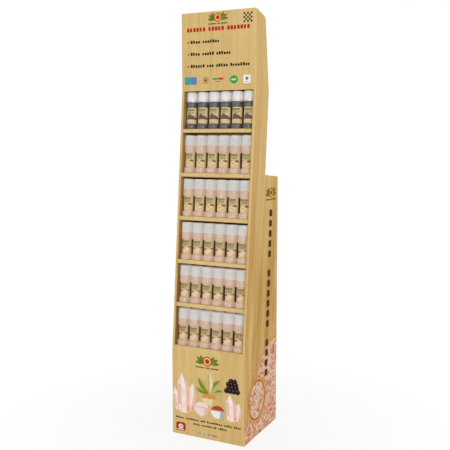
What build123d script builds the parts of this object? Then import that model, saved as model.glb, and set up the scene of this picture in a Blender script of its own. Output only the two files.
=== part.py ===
# Shipper display in folded corrugated board, filled with a row of six spice jars on each of its six shelves.
# Lengths are in millimetres and angles in degrees.
# The origin is on the floor in the middle of the square base, +Z is up, the front faces -Y and +X is to the
# right of someone who looks at the front.
from build123d import *
import math
import os

# Board
BOARD = 3.0                   # thickness of the corrugated board
CREASE_RADIUS = 0.5           # inside radius of a fold
FIT = 0.3                     # gap between two boards that slide together

# Jars, which set the width of the display and the pitch of its shelves
JARS_PER_SHELF = 6
JAR_DIAMETER = 48.8
JAR_GAP = 0.9                 # between two jars of a row
JAR_SIDES = 16                # flats that stand for the jars' round, which keep the 36 jars light
WAIST_RECESS = 4.2            # depth of the zone that holds the label
HEEL_HEIGHT = 20.0            # below the label
SALT_LABEL_HEIGHT = 61.0
SALT_SHOULDER_HEIGHT = 26.5   # above the label
SALT_CAP_HEIGHT = 40.6
PEPPER_LABEL_HEIGHT = 65.0
PEPPER_SHOULDER_HEIGHT = 20.0
PEPPER_CAP_HEIGHT = 40.0

# Shelves
SHELF_COUNT = 6
FIRST_SHELF = 25.7            # along the lean, from the base's fold to the lowest shelf's floor
SIDE_GAP = 0.35               # between the end jars and the inner walls
JAR_SETBACK = 1.0             # from the back of a shelf's lip to the jars
HEAD_ROOM = 7.45              # between a salt jar's cap and the lip of the shelf above
TOP_ROOM = 1.55               # between a pepper jar's cap and the fold of the header
LIP_HEIGHT = 16.5             # front lip below the shelf's floor
LIP_SETBACK = 0.5             # the lips stand this far behind the flanges' front, save the lowest one
LIP_RETURN = 20.0             # flap turned back under the lip
REAR_FLANGE = 16.0            # turned down at the rear of a shelf
TAB_LENGTH = 60.0             # front to back

# Shelf column
LEAN_ANGLE = 5.256            # the column leans back by this much
COLUMN_DEPTH = 124.5          # square to the leaning front
FLANGE_WIDTH = 11.0           # front flange on each side of the shelves
WALL_TAIL = 20.0              # the inner walls run on below the column, behind the base's front

# Base
BASE_DEPTH = 320.0            # outside, front to back
BASE_FRONT_HEIGHT = 341.0     # floor to the fold where the column starts to lean
TRAY_WALL_HEIGHT = 50.0       # upstanding walls of the base tray
RISER_INSET = 46.7            # the riser's wings stand this far inside the base's walls
RISER_FRONT = 30.0            # from the base's front to the riser
RISER_GAP = 6.0               # from the riser's wings to the foot of the column's back

# Step behind the column
LEDGE_POSITION = 716.5        # along the lean, from the base's fold to the ledge
LEDGE_FLAP = 30.0             # glue flap of the ledge, turned down behind the column

# Header
HEADER_HEIGHT = 299.0         # height of its upright front
TOP_SLOPE = 14.1              # the top falls to the rear by this angle
HEADER_BACK_SLOPE = 7.45      # the header's back leans forward by this angle
HEADER_CORNER_RADIUS = 22.0   # between the top and the back
LID_TUCK = 30.0               # flap of the lid behind the header's front
LID_DROP = 60.0               # the lid's rear drop, down from the corner

# Values worked out from the sizes above
FOLD_RADIUS = BOARD + CREASE_RADIUS
JAR_PITCH = JAR_DIAMETER + JAR_GAP
WAIST_DIAMETER = JAR_DIAMETER - 2 * WAIST_RECESS
SALT_JAR_HEIGHT = HEEL_HEIGHT + SALT_LABEL_HEIGHT + SALT_SHOULDER_HEIGHT + SALT_CAP_HEIGHT
PEPPER_JAR_HEIGHT = HEEL_HEIGHT + PEPPER_LABEL_HEIGHT + PEPPER_SHOULDER_HEIGHT + PEPPER_CAP_HEIGHT
SHELF_PITCH = SALT_JAR_HEIGHT + HEAD_ROOM + LIP_HEIGHT
LEAN_LENGTH = FIRST_SHELF + (SHELF_COUNT - 1) * SHELF_PITCH + PEPPER_JAR_HEIGHT + TOP_ROOM
BAY_HALF = (JARS_PER_SHELF * JAR_DIAMETER + (JARS_PER_SHELF - 1) * JAR_GAP) / 2 + SIDE_GAP
HALF_WIDTH = BAY_HALF + FLANGE_WIDTH
WIDTH = 2 * HALF_WIDTH
INNER_HALF = HALF_WIDTH - BOARD - FIT
FRONT = -BASE_DEPTH / 2
SIN_LEAN = math.sin(math.radians(LEAN_ANGLE))
COS_LEAN = math.cos(math.radians(LEAN_ANGLE))

SAME = 0.01                   # two places closer than this are the same place

# The column's own frame: X across, Y from its front into it, Z up along the lean
COLUMN = Plane(
    origin=(0, FRONT, BASE_FRONT_HEIGHT),
    x_dir=(1, 0, 0),
    z_dir=(0, SIN_LEAN, COS_LEAN),
)


def leaning(depth, along):
    """Point (y, z) at a depth behind the leaning front and a distance along it."""
    return (
        FRONT + depth * COS_LEAN + along * SIN_LEAN,
        BASE_FRONT_HEIGHT - depth * SIN_LEAN + along * COS_LEAN,
    )


# Corners of the side panels, as (y, z)
HEADER_FOLD = leaning(0, LEAN_LENGTH)
HEADER_FRONT = HEADER_FOLD[0]
TOP = HEADER_FOLD[1] + HEADER_HEIGHT
REAR_FOLD_ALONG = LEAN_LENGTH + COLUMN_DEPTH * SIN_LEAN / COS_LEAN
REAR_FOLD = leaning(COLUMN_DEPTH, REAR_FOLD_ALONG)
STEP_INNER = leaning(COLUMN_DEPTH, LEDGE_POSITION)
STEP_RUN = BASE_DEPTH / 2 - STEP_INNER[0]
STEP_OUTER = (BASE_DEPTH / 2, STEP_INNER[1] - STEP_RUN * SIN_LEAN / COS_LEAN)
TOP_FALL = math.tan(math.radians(TOP_SLOPE))
BACK_FALL = math.tan(math.radians(HEADER_BACK_SLOPE))
CORNER_RISE = (TOP - REAR_FOLD[1] - (REAR_FOLD[0] - HEADER_FRONT) * TOP_FALL) / (1 - BACK_FALL * TOP_FALL)
HEADER_CORNER = (REAR_FOLD[0] - CORNER_RISE * BACK_FALL, REAR_FOLD[1] + CORNER_RISE)


def block(x_range, y_range, z_range):
    """Straight block between two limits on each axis."""
    size = [high - low for low, high in (x_range, y_range, z_range)]
    return Pos(x_range[0], y_range[0], z_range[0]) * Box(*size, align=(Align.MIN, Align.MIN, Align.MIN))


def folded_board(points, half_width, radius=FOLD_RADIUS, side=Side.RIGHT):
    """Board whose outer face follows points (y, z), with rounded folds, across the display."""
    path = FilletPolyline(*points, radius=radius)
    section = make_face(offset(path, BOARD, side=side, kind=Kind.INTERSECTION))
    return extrude(Plane.YZ.offset(-half_width) * section, 2 * half_width)


def along_back(drop):
    """Point (y, z) on the header's back, a distance down from its upper corner."""
    slope = math.radians(HEADER_BACK_SLOPE)
    return (HEADER_CORNER[0] + drop * math.sin(slope), HEADER_CORNER[1] - drop * math.cos(slope))


def side_outline():
    """Outline of a side panel: base, leaning column, header, and the step behind the column."""
    corners = Polyline(
        (FRONT, 0),
        (FRONT, BASE_FRONT_HEIGHT),
        HEADER_FOLD,
        (HEADER_FRONT, TOP),
        HEADER_CORNER,
        REAR_FOLD,
        STEP_INNER,
        STEP_OUTER,
        (BASE_DEPTH / 2, 0),
        close=True,
    )
    face = make_face(corners)
    upper_corner = face.vertices().sort_by_distance((HEADER_CORNER[0], HEADER_CORNER[1], 0))[0]
    return fillet(upper_corner, HEADER_CORNER_RADIUS)


def shelf_floor(number):
    """Distance along the lean to the floor of a shelf, counted from 0 for the lowest."""
    return FIRST_SHELF + number * SHELF_PITCH


def tab_range():
    """Depth in the column that the tabs of a shelf take up, half way between its front and its rear."""
    middle = (LIP_SETBACK + COLUMN_DEPTH - BOARD - FIT) / 2
    return (middle - TAB_LENGTH / 2, middle + TAB_LENGTH / 2)


def front_folds(shape, across, fronts):
    """Long edges of a shape at a distance to either side, on any of the fronts given as tests of a point."""
    return [
        edge
        for edge in shape.edges()
        if abs(abs((edge @ 0.5).X) - across) < SAME
        and edge.length > COLUMN_DEPTH
        and any(front(edge @ 0.5) for front in fronts)
    ]


def make_envelope():
    """Solid outer form of the display, with its front folds rounded."""
    envelope = extrude(Plane.YZ.offset(-HALF_WIDTH) * side_outline(), WIDTH)
    fronts = [
        lambda point: abs(point.Y - FRONT) < SAME,
        lambda point: abs(COLUMN.to_local_coords(point).Y) < SAME,
        lambda point: abs(point.Y - HEADER_FRONT) < SAME,
    ]
    return fillet(front_folds(envelope, HALF_WIDTH, fronts), FOLD_RADIUS)


def make_rolled_edge(sign):
    """Front flange of one side and the inner wall that it rolls over into, slotted for the shelves' tabs."""
    flange_across = sorted((sign * BAY_HALF, sign * HALF_WIDTH))
    wall_across = sorted((sign * BAY_HALF, sign * (BAY_HALF + BOARD)))
    wall_depth = COLUMN_DEPTH - BOARD - FIT
    length_range = (-WALL_TAIL, LEAN_LENGTH + BOARD)
    edge = block(flange_across, (0, BOARD), length_range)
    edge += block(wall_across, (0, wall_depth), length_range)
    edge = fillet(front_folds(edge, BAY_HALF, [lambda point: abs(point.Y) < SAME]), FOLD_RADIUS)
    near, far = tab_range()
    for number in range(SHELF_COUNT):
        floor = shelf_floor(number)
        edge -= block(wall_across, (near - FIT, far + FIT), (floor - BOARD - FIT, floor + FIT))
    return COLUMN.location * edge


def make_outer_wrap():
    """One folded sheet: side panels, base front with its sill, header front, flanges and inner walls."""
    outline = side_outline()
    across = (-HALF_WIDTH, HALF_WIDTH)
    sheet = extrude(Plane.YZ.offset(-HALF_WIDTH) * outline, BOARD)
    sheet += extrude(Plane.YZ.offset(HALF_WIDTH - BOARD) * outline, BOARD)
    sheet += block(across, (FRONT, FRONT + BOARD), (0, BASE_FRONT_HEIGHT))
    sheet += COLUMN.location * block(across, (0, BOARD), (-BOARD, FIRST_SHELF))
    sheet += block(across, (HEADER_FRONT, HEADER_FRONT + BOARD), (HEADER_FOLD[1], TOP))
    for sign in (-1, 1):
        sheet += make_rolled_edge(sign)
    return sheet & make_envelope()


def make_top_lid():
    """Header's top: a tuck flap in front, the sloping top, the rounded corner and the drop behind."""
    tuck = HEADER_FRONT + BOARD + FIT
    top_front = TOP - (tuck - HEADER_FRONT) * TOP_FALL
    points = [(tuck, top_front - LID_TUCK), (tuck, top_front), HEADER_CORNER, along_back(LID_DROP)]
    return folded_board(points, INNER_HALF, radius=[FOLD_RADIUS, HEADER_CORNER_RADIUS])


def make_back_panel():
    """Leaning back of the column, from the base tray to the lid, notched over the tray's walls."""
    below_floor = leaning(COLUMN_DEPTH, -2 * BASE_FRONT_HEIGHT)
    panel = folded_board([below_floor, REAR_FOLD, along_back(LID_DROP + FIT)], INNER_HALF, side=Side.LEFT)
    depth_range = (FRONT, BASE_DEPTH / 2)
    panel &= block((-INNER_HALF, INNER_HALF), depth_range, (BOARD, TOP))
    notch_top = TRAY_WALL_HEIGHT + FIT
    notch_side = INNER_HALF - BOARD - FIT
    for sign in (-1, 1):
        notch_across = sorted((sign * notch_side, sign * HALF_WIDTH))
        panel -= block(notch_across, depth_range, (0, notch_top))
    return panel


def make_rear_cover():
    """Back of the base and the ledge behind the column, with a glue flap down the column's back."""
    flap_bottom = leaning(COLUMN_DEPTH + FIT, LEDGE_POSITION - LEDGE_FLAP)
    flap_top = leaning(COLUMN_DEPTH + FIT, LEDGE_POSITION)
    return folded_board([flap_bottom, flap_top, STEP_OUTER, (BASE_DEPTH / 2, 0)], INNER_HALF)


def make_base_tray():
    """Shallow open tray that closes the bottom of the base."""
    half_depth = BASE_DEPTH / 2 - BOARD - FIT
    outside = block((-INNER_HALF, INNER_HALF), (-half_depth, half_depth), (0, TRAY_WALL_HEIGHT))
    inside_half = INNER_HALF - BOARD
    inside_depth = half_depth - BOARD
    inside = block((-inside_half, inside_half), (-inside_depth, inside_depth), (BOARD, TRAY_WALL_HEIGHT))
    return outside - inside


def back_panel_foot():
    """Place, front to back, where the front face of the back panel meets the floor of the base tray."""
    depth = COLUMN_DEPTH - BOARD
    along = (BOARD - BASE_FRONT_HEIGHT + depth * SIN_LEAN) / COS_LEAN
    return leaning(depth, along)[0]


def make_base_riser():
    """Folded support under the lowest shelf: a cross panel with two wings that run to the rear."""
    front = FRONT + RISER_FRONT + BOARD
    rear = back_panel_foot() - RISER_GAP
    half = INNER_HALF - RISER_INSET - BOARD
    inside = Polyline((-half, rear), (-half, front), (half, front), (half, rear))
    section = make_face(offset(inside, BOARD, side=Side.RIGHT, kind=Kind.ARC))
    riser = extrude(Pos(0, 0, BOARD) * section, 2 * BASE_FRONT_HEIGHT)
    underside = shelf_floor(0) - BOARD - FIT
    room = block((-HALF_WIDTH, HALF_WIDTH), (0, COLUMN_DEPTH), (-2 * BASE_FRONT_HEIGHT, underside))
    return riser & (COLUMN.location * room)


def make_shelf(number):
    """Folded shelf, counted from 0 for the lowest, whose deeper lip hangs behind the sill of the base."""
    lowest = number == 0
    lip = FIRST_SHELF - BOARD * SIN_LEAN - FIT if lowest else LIP_HEIGHT
    setback = BOARD + FIT if lowest else LIP_SETBACK
    front = setback + BOARD
    rear = COLUMN_DEPTH - 2 * BOARD - FIT
    half = BAY_HALF - FIT
    inside = Polyline(
        (setback + LIP_RETURN, BOARD - lip),
        (front, BOARD - lip),
        (front, -BOARD),
        (rear, -BOARD),
        (rear, -REAR_FLANGE),
    )
    section = make_face(offset(inside, BOARD, side=Side.LEFT, kind=Kind.ARC))
    shelf = extrude(Plane.YZ.offset(-half) * section, 2 * half)
    shelf += block((-BAY_HALF - BOARD, BAY_HALF + BOARD), tab_range(), (-BOARD, 0))
    return COLUMN.location * Pos(0, 0, shelf_floor(number)) * shelf


def turned(diameter, low, high):
    """Upright round stretch of a jar, drawn with flats."""
    flats = RegularPolygon(diameter / 2, JAR_SIDES)
    return extrude(Pos(0, 0, low) * flats, high - low)


def make_jar(label_height, shoulder_height):
    """Sealed jar without its cap: heel, recessed label zone and shoulder."""
    label_top = HEEL_HEIGHT + label_height
    jar = turned(JAR_DIAMETER, 0, HEEL_HEIGHT)
    jar += turned(WAIST_DIAMETER, HEEL_HEIGHT, label_top)
    jar += turned(JAR_DIAMETER, label_top, label_top + shoulder_height)
    return jar


def row_on_shelf(number, piece, height):
    """Copies of a piece along the front of a shelf, at a height above its floor."""
    depth = LIP_SETBACK + BOARD + JAR_SETBACK + JAR_DIAMETER / 2
    first = -(JARS_PER_SHELF - 1) / 2 * JAR_PITCH
    level = shelf_floor(number) + height
    places = [Pos(first + place * JAR_PITCH, depth, level) for place in range(JARS_PER_SHELF)]
    return Compound(children=[COLUMN.location * place * piece for place in places])


def make_goods(number):
    """Jars and caps of a shelf. Pepper stands on the top shelf, and salt on the others."""
    top_shelf = number == SHELF_COUNT - 1
    label = PEPPER_LABEL_HEIGHT if top_shelf else SALT_LABEL_HEIGHT
    shoulder = PEPPER_SHOULDER_HEIGHT if top_shelf else SALT_SHOULDER_HEIGHT
    cap_height = PEPPER_CAP_HEIGHT if top_shelf else SALT_CAP_HEIGHT
    jars = row_on_shelf(number, make_jar(label, shoulder), 0)
    caps = row_on_shelf(number, turned(JAR_DIAMETER, 0, cap_height), HEEL_HEIGHT + label + shoulder)
    return jars, caps


def make_parts():
    """Every piece of the display by name."""
    parts = {
        "outer_wrap": make_outer_wrap(),
        "top_lid": make_top_lid(),
        "back_panel": make_back_panel(),
        "rear_cover": make_rear_cover(),
        "base_tray": make_base_tray(),
        "base_riser": make_base_riser(),
    }
    for number in range(SHELF_COUNT):
        jars, caps = make_goods(number)
        parts[f"shelf_{number + 1}"] = make_shelf(number)
        parts[f"jars_{number + 1}"] = jars
        parts[f"caps_{number + 1}"] = caps
    return parts


os.makedirs("parts", exist_ok=True)
for name, shape in make_parts().items():
    export_step(shape, f"parts/{name}.step")
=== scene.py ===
"""Looks of a shipper display: printed corrugated board, with a row of spice jars on each of six shelves.

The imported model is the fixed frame. The boards keep their solids and get a finish here. The jars and their
caps are modelled again with their turned forms, and the print on the boards is laid on as thin flat shapes
of colour. Lengths are in metres, and places on a printed face are in millimetres.
"""

import logging
import math
from dataclasses import dataclass
from enum import Enum

import bpy
from mathutils import Matrix, Vector


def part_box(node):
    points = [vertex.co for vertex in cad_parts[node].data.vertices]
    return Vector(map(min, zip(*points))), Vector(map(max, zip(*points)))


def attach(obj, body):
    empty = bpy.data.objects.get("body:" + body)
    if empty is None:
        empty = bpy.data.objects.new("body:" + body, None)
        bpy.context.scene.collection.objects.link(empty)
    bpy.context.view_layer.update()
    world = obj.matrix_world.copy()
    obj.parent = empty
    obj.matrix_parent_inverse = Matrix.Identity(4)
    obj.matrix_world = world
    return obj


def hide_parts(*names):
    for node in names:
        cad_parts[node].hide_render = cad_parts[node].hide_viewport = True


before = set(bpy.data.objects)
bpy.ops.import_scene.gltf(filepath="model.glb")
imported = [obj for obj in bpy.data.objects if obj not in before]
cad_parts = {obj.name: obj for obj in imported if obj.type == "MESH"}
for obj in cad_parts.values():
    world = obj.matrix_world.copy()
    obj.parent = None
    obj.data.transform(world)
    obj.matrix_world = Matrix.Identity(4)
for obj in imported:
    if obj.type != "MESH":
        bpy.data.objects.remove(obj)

LOG = logging.getLogger("shipper_display")
BODY = "root"
MM = 0.001
SHELF_COUNT = 6
BOARD = 3.0 * MM
FLUTE_PITCH = 6.4 * MM
INK_LAYER = 0.12 * MM
RIB_DEPTH = 0.45 * MM
SAME_LEVEL = 2.0 * MM
SAME_PLANE = 0.01 * MM
# Share of its own colour that a finish gives up for each unit of glow, which keeps it as bright as it was.
# The glow is painted light that lightens the shade between close pieces
GLOW_GAIN = 1.4
# Steps that spread numbered points evenly from 0 to 1, one for each of three measures
SPREAD = (0.618034, 0.7548777, 0.5698403)

Socket = bpy.types.NodeSocket
Sockets = dict[str, Socket]
Inputs = dict[str | int, object]
Colour = tuple[float, float, float]
Point = tuple[float, float]


def linear(*levels: int) -> Colour:
    """Turn a screen colour of three levels from 0 to 255 into the linear values that a shader takes."""
    shares = [level / 255 for level in levels]
    return tuple(share / 12.92 if share <= 0.04045 else ((share + 0.055) / 1.055) ** 2.4 for share in shares)


def faded(colour: Colour, share: float) -> Colour:
    """Give a share of a linear colour."""
    return tuple(part * share for part in colour)


def spread(number: int, measure: int = 0) -> float:
    """Give where a numbered point stands between 0 and 1 on one of its measures."""
    return number * SPREAD[measure] % 1.0


class Ink(Enum):
    """Printing inks, as colours of 0 to 255."""

    RED = (178, 44, 30)
    CHARCOAL = (36, 25, 18)
    OLIVE = (126, 134, 42)
    LEAF = (44, 158, 78)
    TEAL = (70, 158, 168)
    BLUE = (92, 126, 180)
    RUST = (150, 70, 38)
    CLAY = (196, 120, 74)
    WHITE = (238, 232, 224)
    GREY = (176, 172, 170)
    SMOKE = (108, 112, 116)
    CREAM = (226, 208, 160)
    STRAW = (206, 178, 112)
    PINK = (226, 186, 176)
    BLUSH = (238, 214, 202)
    SAGE = (184, 176, 108)
    BLACK = (30, 28, 32)
    AMBER = (206, 132, 52)
    HONEY = (236, 184, 104)
    COCOA = (72, 36, 30)
    PAPER = (224, 200, 156)
    UMBER = (84, 48, 22)
    MOSS = (96, 112, 36)
    ROSE = (232, 150, 128)
    SALMON = (236, 186, 164)
    SHELL = (242, 226, 212)
    SLATE = (70, 62, 60)
    FERN = (118, 108, 46)

    @property
    def colour(self) -> Colour:
        """Give the ink's linear colour."""
        return linear(*self.value)


class BareSide(Enum):
    """Side of a board that shows a plain liner colour instead of print; the dark default colour is painted
    shade.
    """

    NONE = "none"
    FRONT = "front"
    UNDERSIDE = "underside"


class LabelMotif(Enum):
    """Plain designs printed on the jars' labels."""

    BERRY = "berry"
    LEAF = "leaf"
    PEPPER = "pepper"


# A printed mark on a label: its ink, its centre across and up, its half width and half height in mm
Mark = tuple[Ink, float, float, float, float]
LABEL_GROUNDS = {
    LabelMotif.BERRY: linear(210, 186, 142),
    LabelMotif.LEAF: linear(220, 196, 148),
    LabelMotif.PEPPER: Ink.PAPER.colour,
}
LABEL_OVALS: dict[LabelMotif, tuple[Mark, ...]] = {
    LabelMotif.BERRY: (
        (Ink.CREAM, 0.0, 12.0, 20.0, 9.5),
        (Ink.PINK, 7.0, 20.5, 11.0, 6.8),
        (Ink.SALMON, 3.0, 19.0, 6.0, 4.0),
        (Ink.BLUSH, 11.0, 21.5, 5.0, 3.2),
        (Ink.SALMON, 9.0, 15.5, 5.0, 2.6),
        (Ink.RED, -12.5, 25.0, 6.4, 4.2),
        (Ink.RUST, -5.0, 28.0, 4.2, 2.4),
        (Ink.MOSS, 24.0, 29.5, 7.5, 2.8),
        (Ink.MOSS, 14.5, 31.0, 4.4, 1.8),
        (Ink.OLIVE, -15.0, 12.0, 5.4, 2.8),
        (Ink.STRAW, 14.0, 10.0, 7.0, 2.8),
        (Ink.PINK, -3.0, 9.0, 6.0, 3.2),
    ),
    LabelMotif.LEAF: (
        (Ink.CREAM, 2.0, 14.0, 19.0, 10.0),
        (Ink.SALMON, -4.0, 13.0, 7.0, 4.6),
        (Ink.STRAW, 10.0, 12.0, 8.0, 4.0),
        (Ink.CLAY, 12.0, 28.0, 9.5, 5.0),
        (Ink.RUST, 14.5, 28.5, 7.6, 4.0),
        (Ink.COCOA, 18.0, 27.0, 4.2, 2.8),
        (Ink.OLIVE, -10.0, 30.0, 7.5, 1.8),
        (Ink.OLIVE, 0.0, 19.5, 6.0, 1.8),
    ),
    LabelMotif.PEPPER: (
        (Ink.COCOA, -2.0, 16.0, 14.0, 22.5),
        (Ink.COCOA, 6.0, 16.0, 18.0, 17.5),
        (Ink.COCOA, 13.0, 16.0, 19.0, 11.0),
        (Ink.UMBER, 1.0, 15.0, 8.0, 13.0),
        (Ink.SLATE, -5.0, 30.0, 1.5, 1.4),
        (Ink.SLATE, 1.5, 25.0, 1.6, 1.4),
        (Ink.BLACK, -9.0, 24.0, 1.5, 1.4),
        (Ink.BLACK, 8.0, 21.5, 1.7, 1.5),
        (Ink.SLATE, 14.5, 21.0, 1.6, 1.5),
        (Ink.BLACK, 20.0, 19.5, 1.7, 1.5),
        (Ink.SLATE, -4.0, 21.0, 1.6, 1.4),
    ),
}
LABEL_CROWN: tuple[Mark, ...] = (
    (Ink.FERN, -7.0, 51.5, 9.0, 4.4),
    (Ink.FERN, 9.0, 51.5, 9.0, 4.4),
    (Ink.OLIVE, 1.0, 51.0, 6.4, 5.6),
    (Ink.RUST, 1.0, 52.5, 2.6, 2.6),
)
# Facets of a printed crystal, then its flaws: ink, layer, and corners as shares of half its width and of its
# height
CRYSTAL = (
    (Ink.PINK, 0, ((-1, 0.1), (-0.8, 0), (-0.34, 0), (-0.3, 0.7), (-0.88, 0.72))),
    (Ink.SHELL, 0, ((-0.34, 0), (0.4, 0), (0.44, 0.64), (-0.3, 0.7))),
    (Ink.SALMON, 0, ((0.4, 0), (0.8, 0), (1, 0.12), (0.94, 0.66), (0.44, 0.64))),
    (Ink.BLUSH, 0, ((-0.88, 0.72), (-0.3, 0.7), (-0.1, 1))),
    (Ink.WHITE, 0, ((-0.3, 0.7), (0.44, 0.64), (-0.1, 1))),
    (Ink.PINK, 0, ((0.44, 0.64), (0.94, 0.66), (-0.1, 1))),
    (Ink.BLUSH, 1, ((-0.2, 0.1), (0.28, 0.16), (0.2, 0.3), (-0.14, 0.24))),
    (Ink.BLUSH, 1, ((-0.2, 0.5), (0.1, 0.42), (0.24, 0.56), (-0.1, 0.6))),
    (Ink.SALMON, 1, ((-0.86, 0.3), (-0.5, 0.26), (-0.46, 0.44), (-0.8, 0.48))),
    (Ink.SHELL, 1, ((-0.8, 0.06), (-0.44, 0.04), (-0.4, 0.18), (-0.84, 0.2))),
    (Ink.PINK, 1, ((0.56, 0.3), (0.88, 0.24), (0.86, 0.46), (0.6, 0.42))),
    (Ink.ROSE, 1, ((0.5, 0.06), (0.8, 0.05), (0.88, 0.16), (0.52, 0.2))),
)


def wrap_heights(front: float) -> list[float]:
    """Give the heights, lowest first, of the wrap's corners on an upright plane across the display."""
    corners = [point.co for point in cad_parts["outer_wrap"].data.vertices]
    return sorted(corner.z for corner in corners if abs(corner.y - front) < SAME_PLANE)


@dataclass(frozen=True)
class Lean:
    """The column's lean, and the fold on the base's front where it starts."""

    angle: float
    pitch: float
    fold_height: float
    front: float

    @classmethod
    def from_frame(cls) -> "Lean":
        """Read the lean from the places of two shelves, and the fold from the top of the base's front.

        Returns:
            The lean of the column.
        """
        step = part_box("shelf_3")[0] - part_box("shelf_2")[0]
        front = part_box("outer_wrap")[0].y
        return cls(math.atan2(step.y, step.z), math.hypot(step.y, step.z), wrap_heights(front)[-1], front)

    def axes(self) -> Matrix:
        """Give the rotation whose Z runs up along the lean and whose Y runs into the column."""
        return Matrix.Rotation(-self.angle, 4, "X")


class Graph:
    """Short calls that add nodes to one node tree and join them."""

    def __init__(self, tree: bpy.types.NodeTree) -> None:
        """Keep the tree of a material, a world or a node group."""
        self.tree = tree

    @classmethod
    def emptied(cls, owner: bpy.types.Material | bpy.types.World) -> "Graph":
        """Give the node graph of a material or a world, emptied.

        Args:
            owner: The material or the world.

        Returns:
            Its graph.
        """
        owner.use_nodes = True
        owner.node_tree.nodes.clear()
        return cls(owner.node_tree)

    def add(self, kind: str, inputs: Inputs | None = None, **settings: object) -> bpy.types.Node:
        """Add a node.

        Args:
            kind: Node type without its ShaderNode prefix.
            inputs: Value or linked socket of each named or numbered input.
            settings: Properties of the node.

        Returns:
            The new node.
        """
        node = self.tree.nodes.new("ShaderNode" + kind)
        for name, value in settings.items():
            setattr(node, name, value)
        for name, value in (inputs or {}).items():
            self.feed(node.inputs[name], value)
        return node

    def feed(self, socket: Socket, value: object) -> None:
        """Link a socket into an input, or set the input's own value.

        Args:
            socket: The input.
            value: Socket to link, or the value.
        """
        if isinstance(value, Socket):
            self.tree.links.new(value, socket)
        elif socket.type == "RGBA" and len(value) == 3:
            socket.default_value = (*value, 1.0)
        else:
            socket.default_value = value

    def math(self, operation: str, *values: object, clamp: bool = False) -> Socket:
        """Give the result of a Math node, clamped to 0 to 1 if asked."""
        return self.add("Math", dict(enumerate(values)), operation=operation, use_clamp=clamp).outputs[0]

    def plus(self, first: object, second: object) -> Socket:
        """Add two values."""
        return self.math("ADD", first, second)

    def minus(self, first: object, second: object) -> Socket:
        """Subtract the second value from the first."""
        return self.math("SUBTRACT", first, second)

    def times(self, first: object, second: object) -> Socket:
        """Multiply two values."""
        return self.math("MULTIPLY", first, second)

    def over(self, first: object, second: object) -> Socket:
        """Divide the first value by the second."""
        return self.math("DIVIDE", first, second)

    def size(self, value: Socket) -> Socket:
        """Give a value without its sign."""
        return self.math("ABSOLUTE", value)

    def ramp(self, value: Socket, low: float, high: float, start: float = 0.0, end: float = 1.0) -> Socket:
        """Map a value smoothly, from low to high onto start to end."""
        inputs = {"Value": value, "From Min": low, "From Max": high, "To Min": start, "To Max": end}
        return self.add("MapRange", inputs, interpolation_type="SMOOTHSTEP").outputs["Result"]

    def blend(self, share: object, first: object, second: object, mode: str = "MIX") -> Socket:
        """Mix two colours, with a share of the second."""
        return self.add("Mix", {0: share, 6: first, 7: second}, data_type="RGBA", blend_type=mode).outputs[2]

    def shaded(self, share: object, colour: object, shade: Socket) -> Socket:
        """Multiply a colour by a value, as far as the share says."""
        grey = self.add("CombineColor", {0: shade, 1: shade, 2: shade}).outputs[0]
        return self.blend(share, colour, grey, "MULTIPLY")

    def split(self, vector: Socket) -> tuple[Socket, ...]:
        """Give the three parts of a vector."""
        return tuple(self.add("SeparateXYZ", {0: vector}).outputs)

    def join(self, x: object, y: object, z: object) -> Socket:
        """Give the vector of three parts."""
        return self.add("CombineXYZ", {0: x, 1: y, 2: z}).outputs[0]

    def length(self, vector: Socket) -> Socket:
        """Give the length of a vector."""
        return self.add("VectorMath", {0: vector}, operation="LENGTH").outputs["Value"]

    def place(self) -> Socket:
        """Give the place on the object."""
        return self.add("TexCoord").outputs["Object"]

    def noise(self, vector: Socket, scale: float, detail: float, roughness: float = 0.55) -> Socket:
        """Give the value of a noise texture at a vector."""
        inputs = {"Vector": vector, "Scale": scale, "Detail": detail, "Roughness": roughness}
        return self.add("TexNoise", inputs).outputs[0]

    def bump(self, height: Socket, distance: float, strength: float = 1.0) -> Socket:
        """Give the normal of a bumped surface, whose height of 1 stands distance high."""
        return self.add("Bump", {"Height": height, "Distance": distance, "Strength": strength}).outputs[0]

    def shown(self) -> Socket:
        """Give 1 for what the camera sees, also in gloss or through glass, and 0 for light on the display.

        Returns:
            The value's socket.
        """
        paths = self.add("LightPath").outputs
        direct = self.math("MAXIMUM", paths["Is Camera Ray"], paths["Is Glossy Ray"])
        return self.math("MAXIMUM", direct, paths["Is Transmission Ray"])

    def group(self, name: str, **inputs: object) -> Sockets:
        """Place a shared node group.

        Args:
            name: Name of the group.
            inputs: Values or sockets by the input's name in small letters, with an underscore for each space.

        Returns:
            The group's outputs by name.
        """
        named = {key.replace("_", " ").title(): value for key, value in inputs.items()}
        node = self.add("Group", named, node_tree=SharedEffects.get(name))
        return {socket.name: socket for socket in node.outputs}


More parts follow.
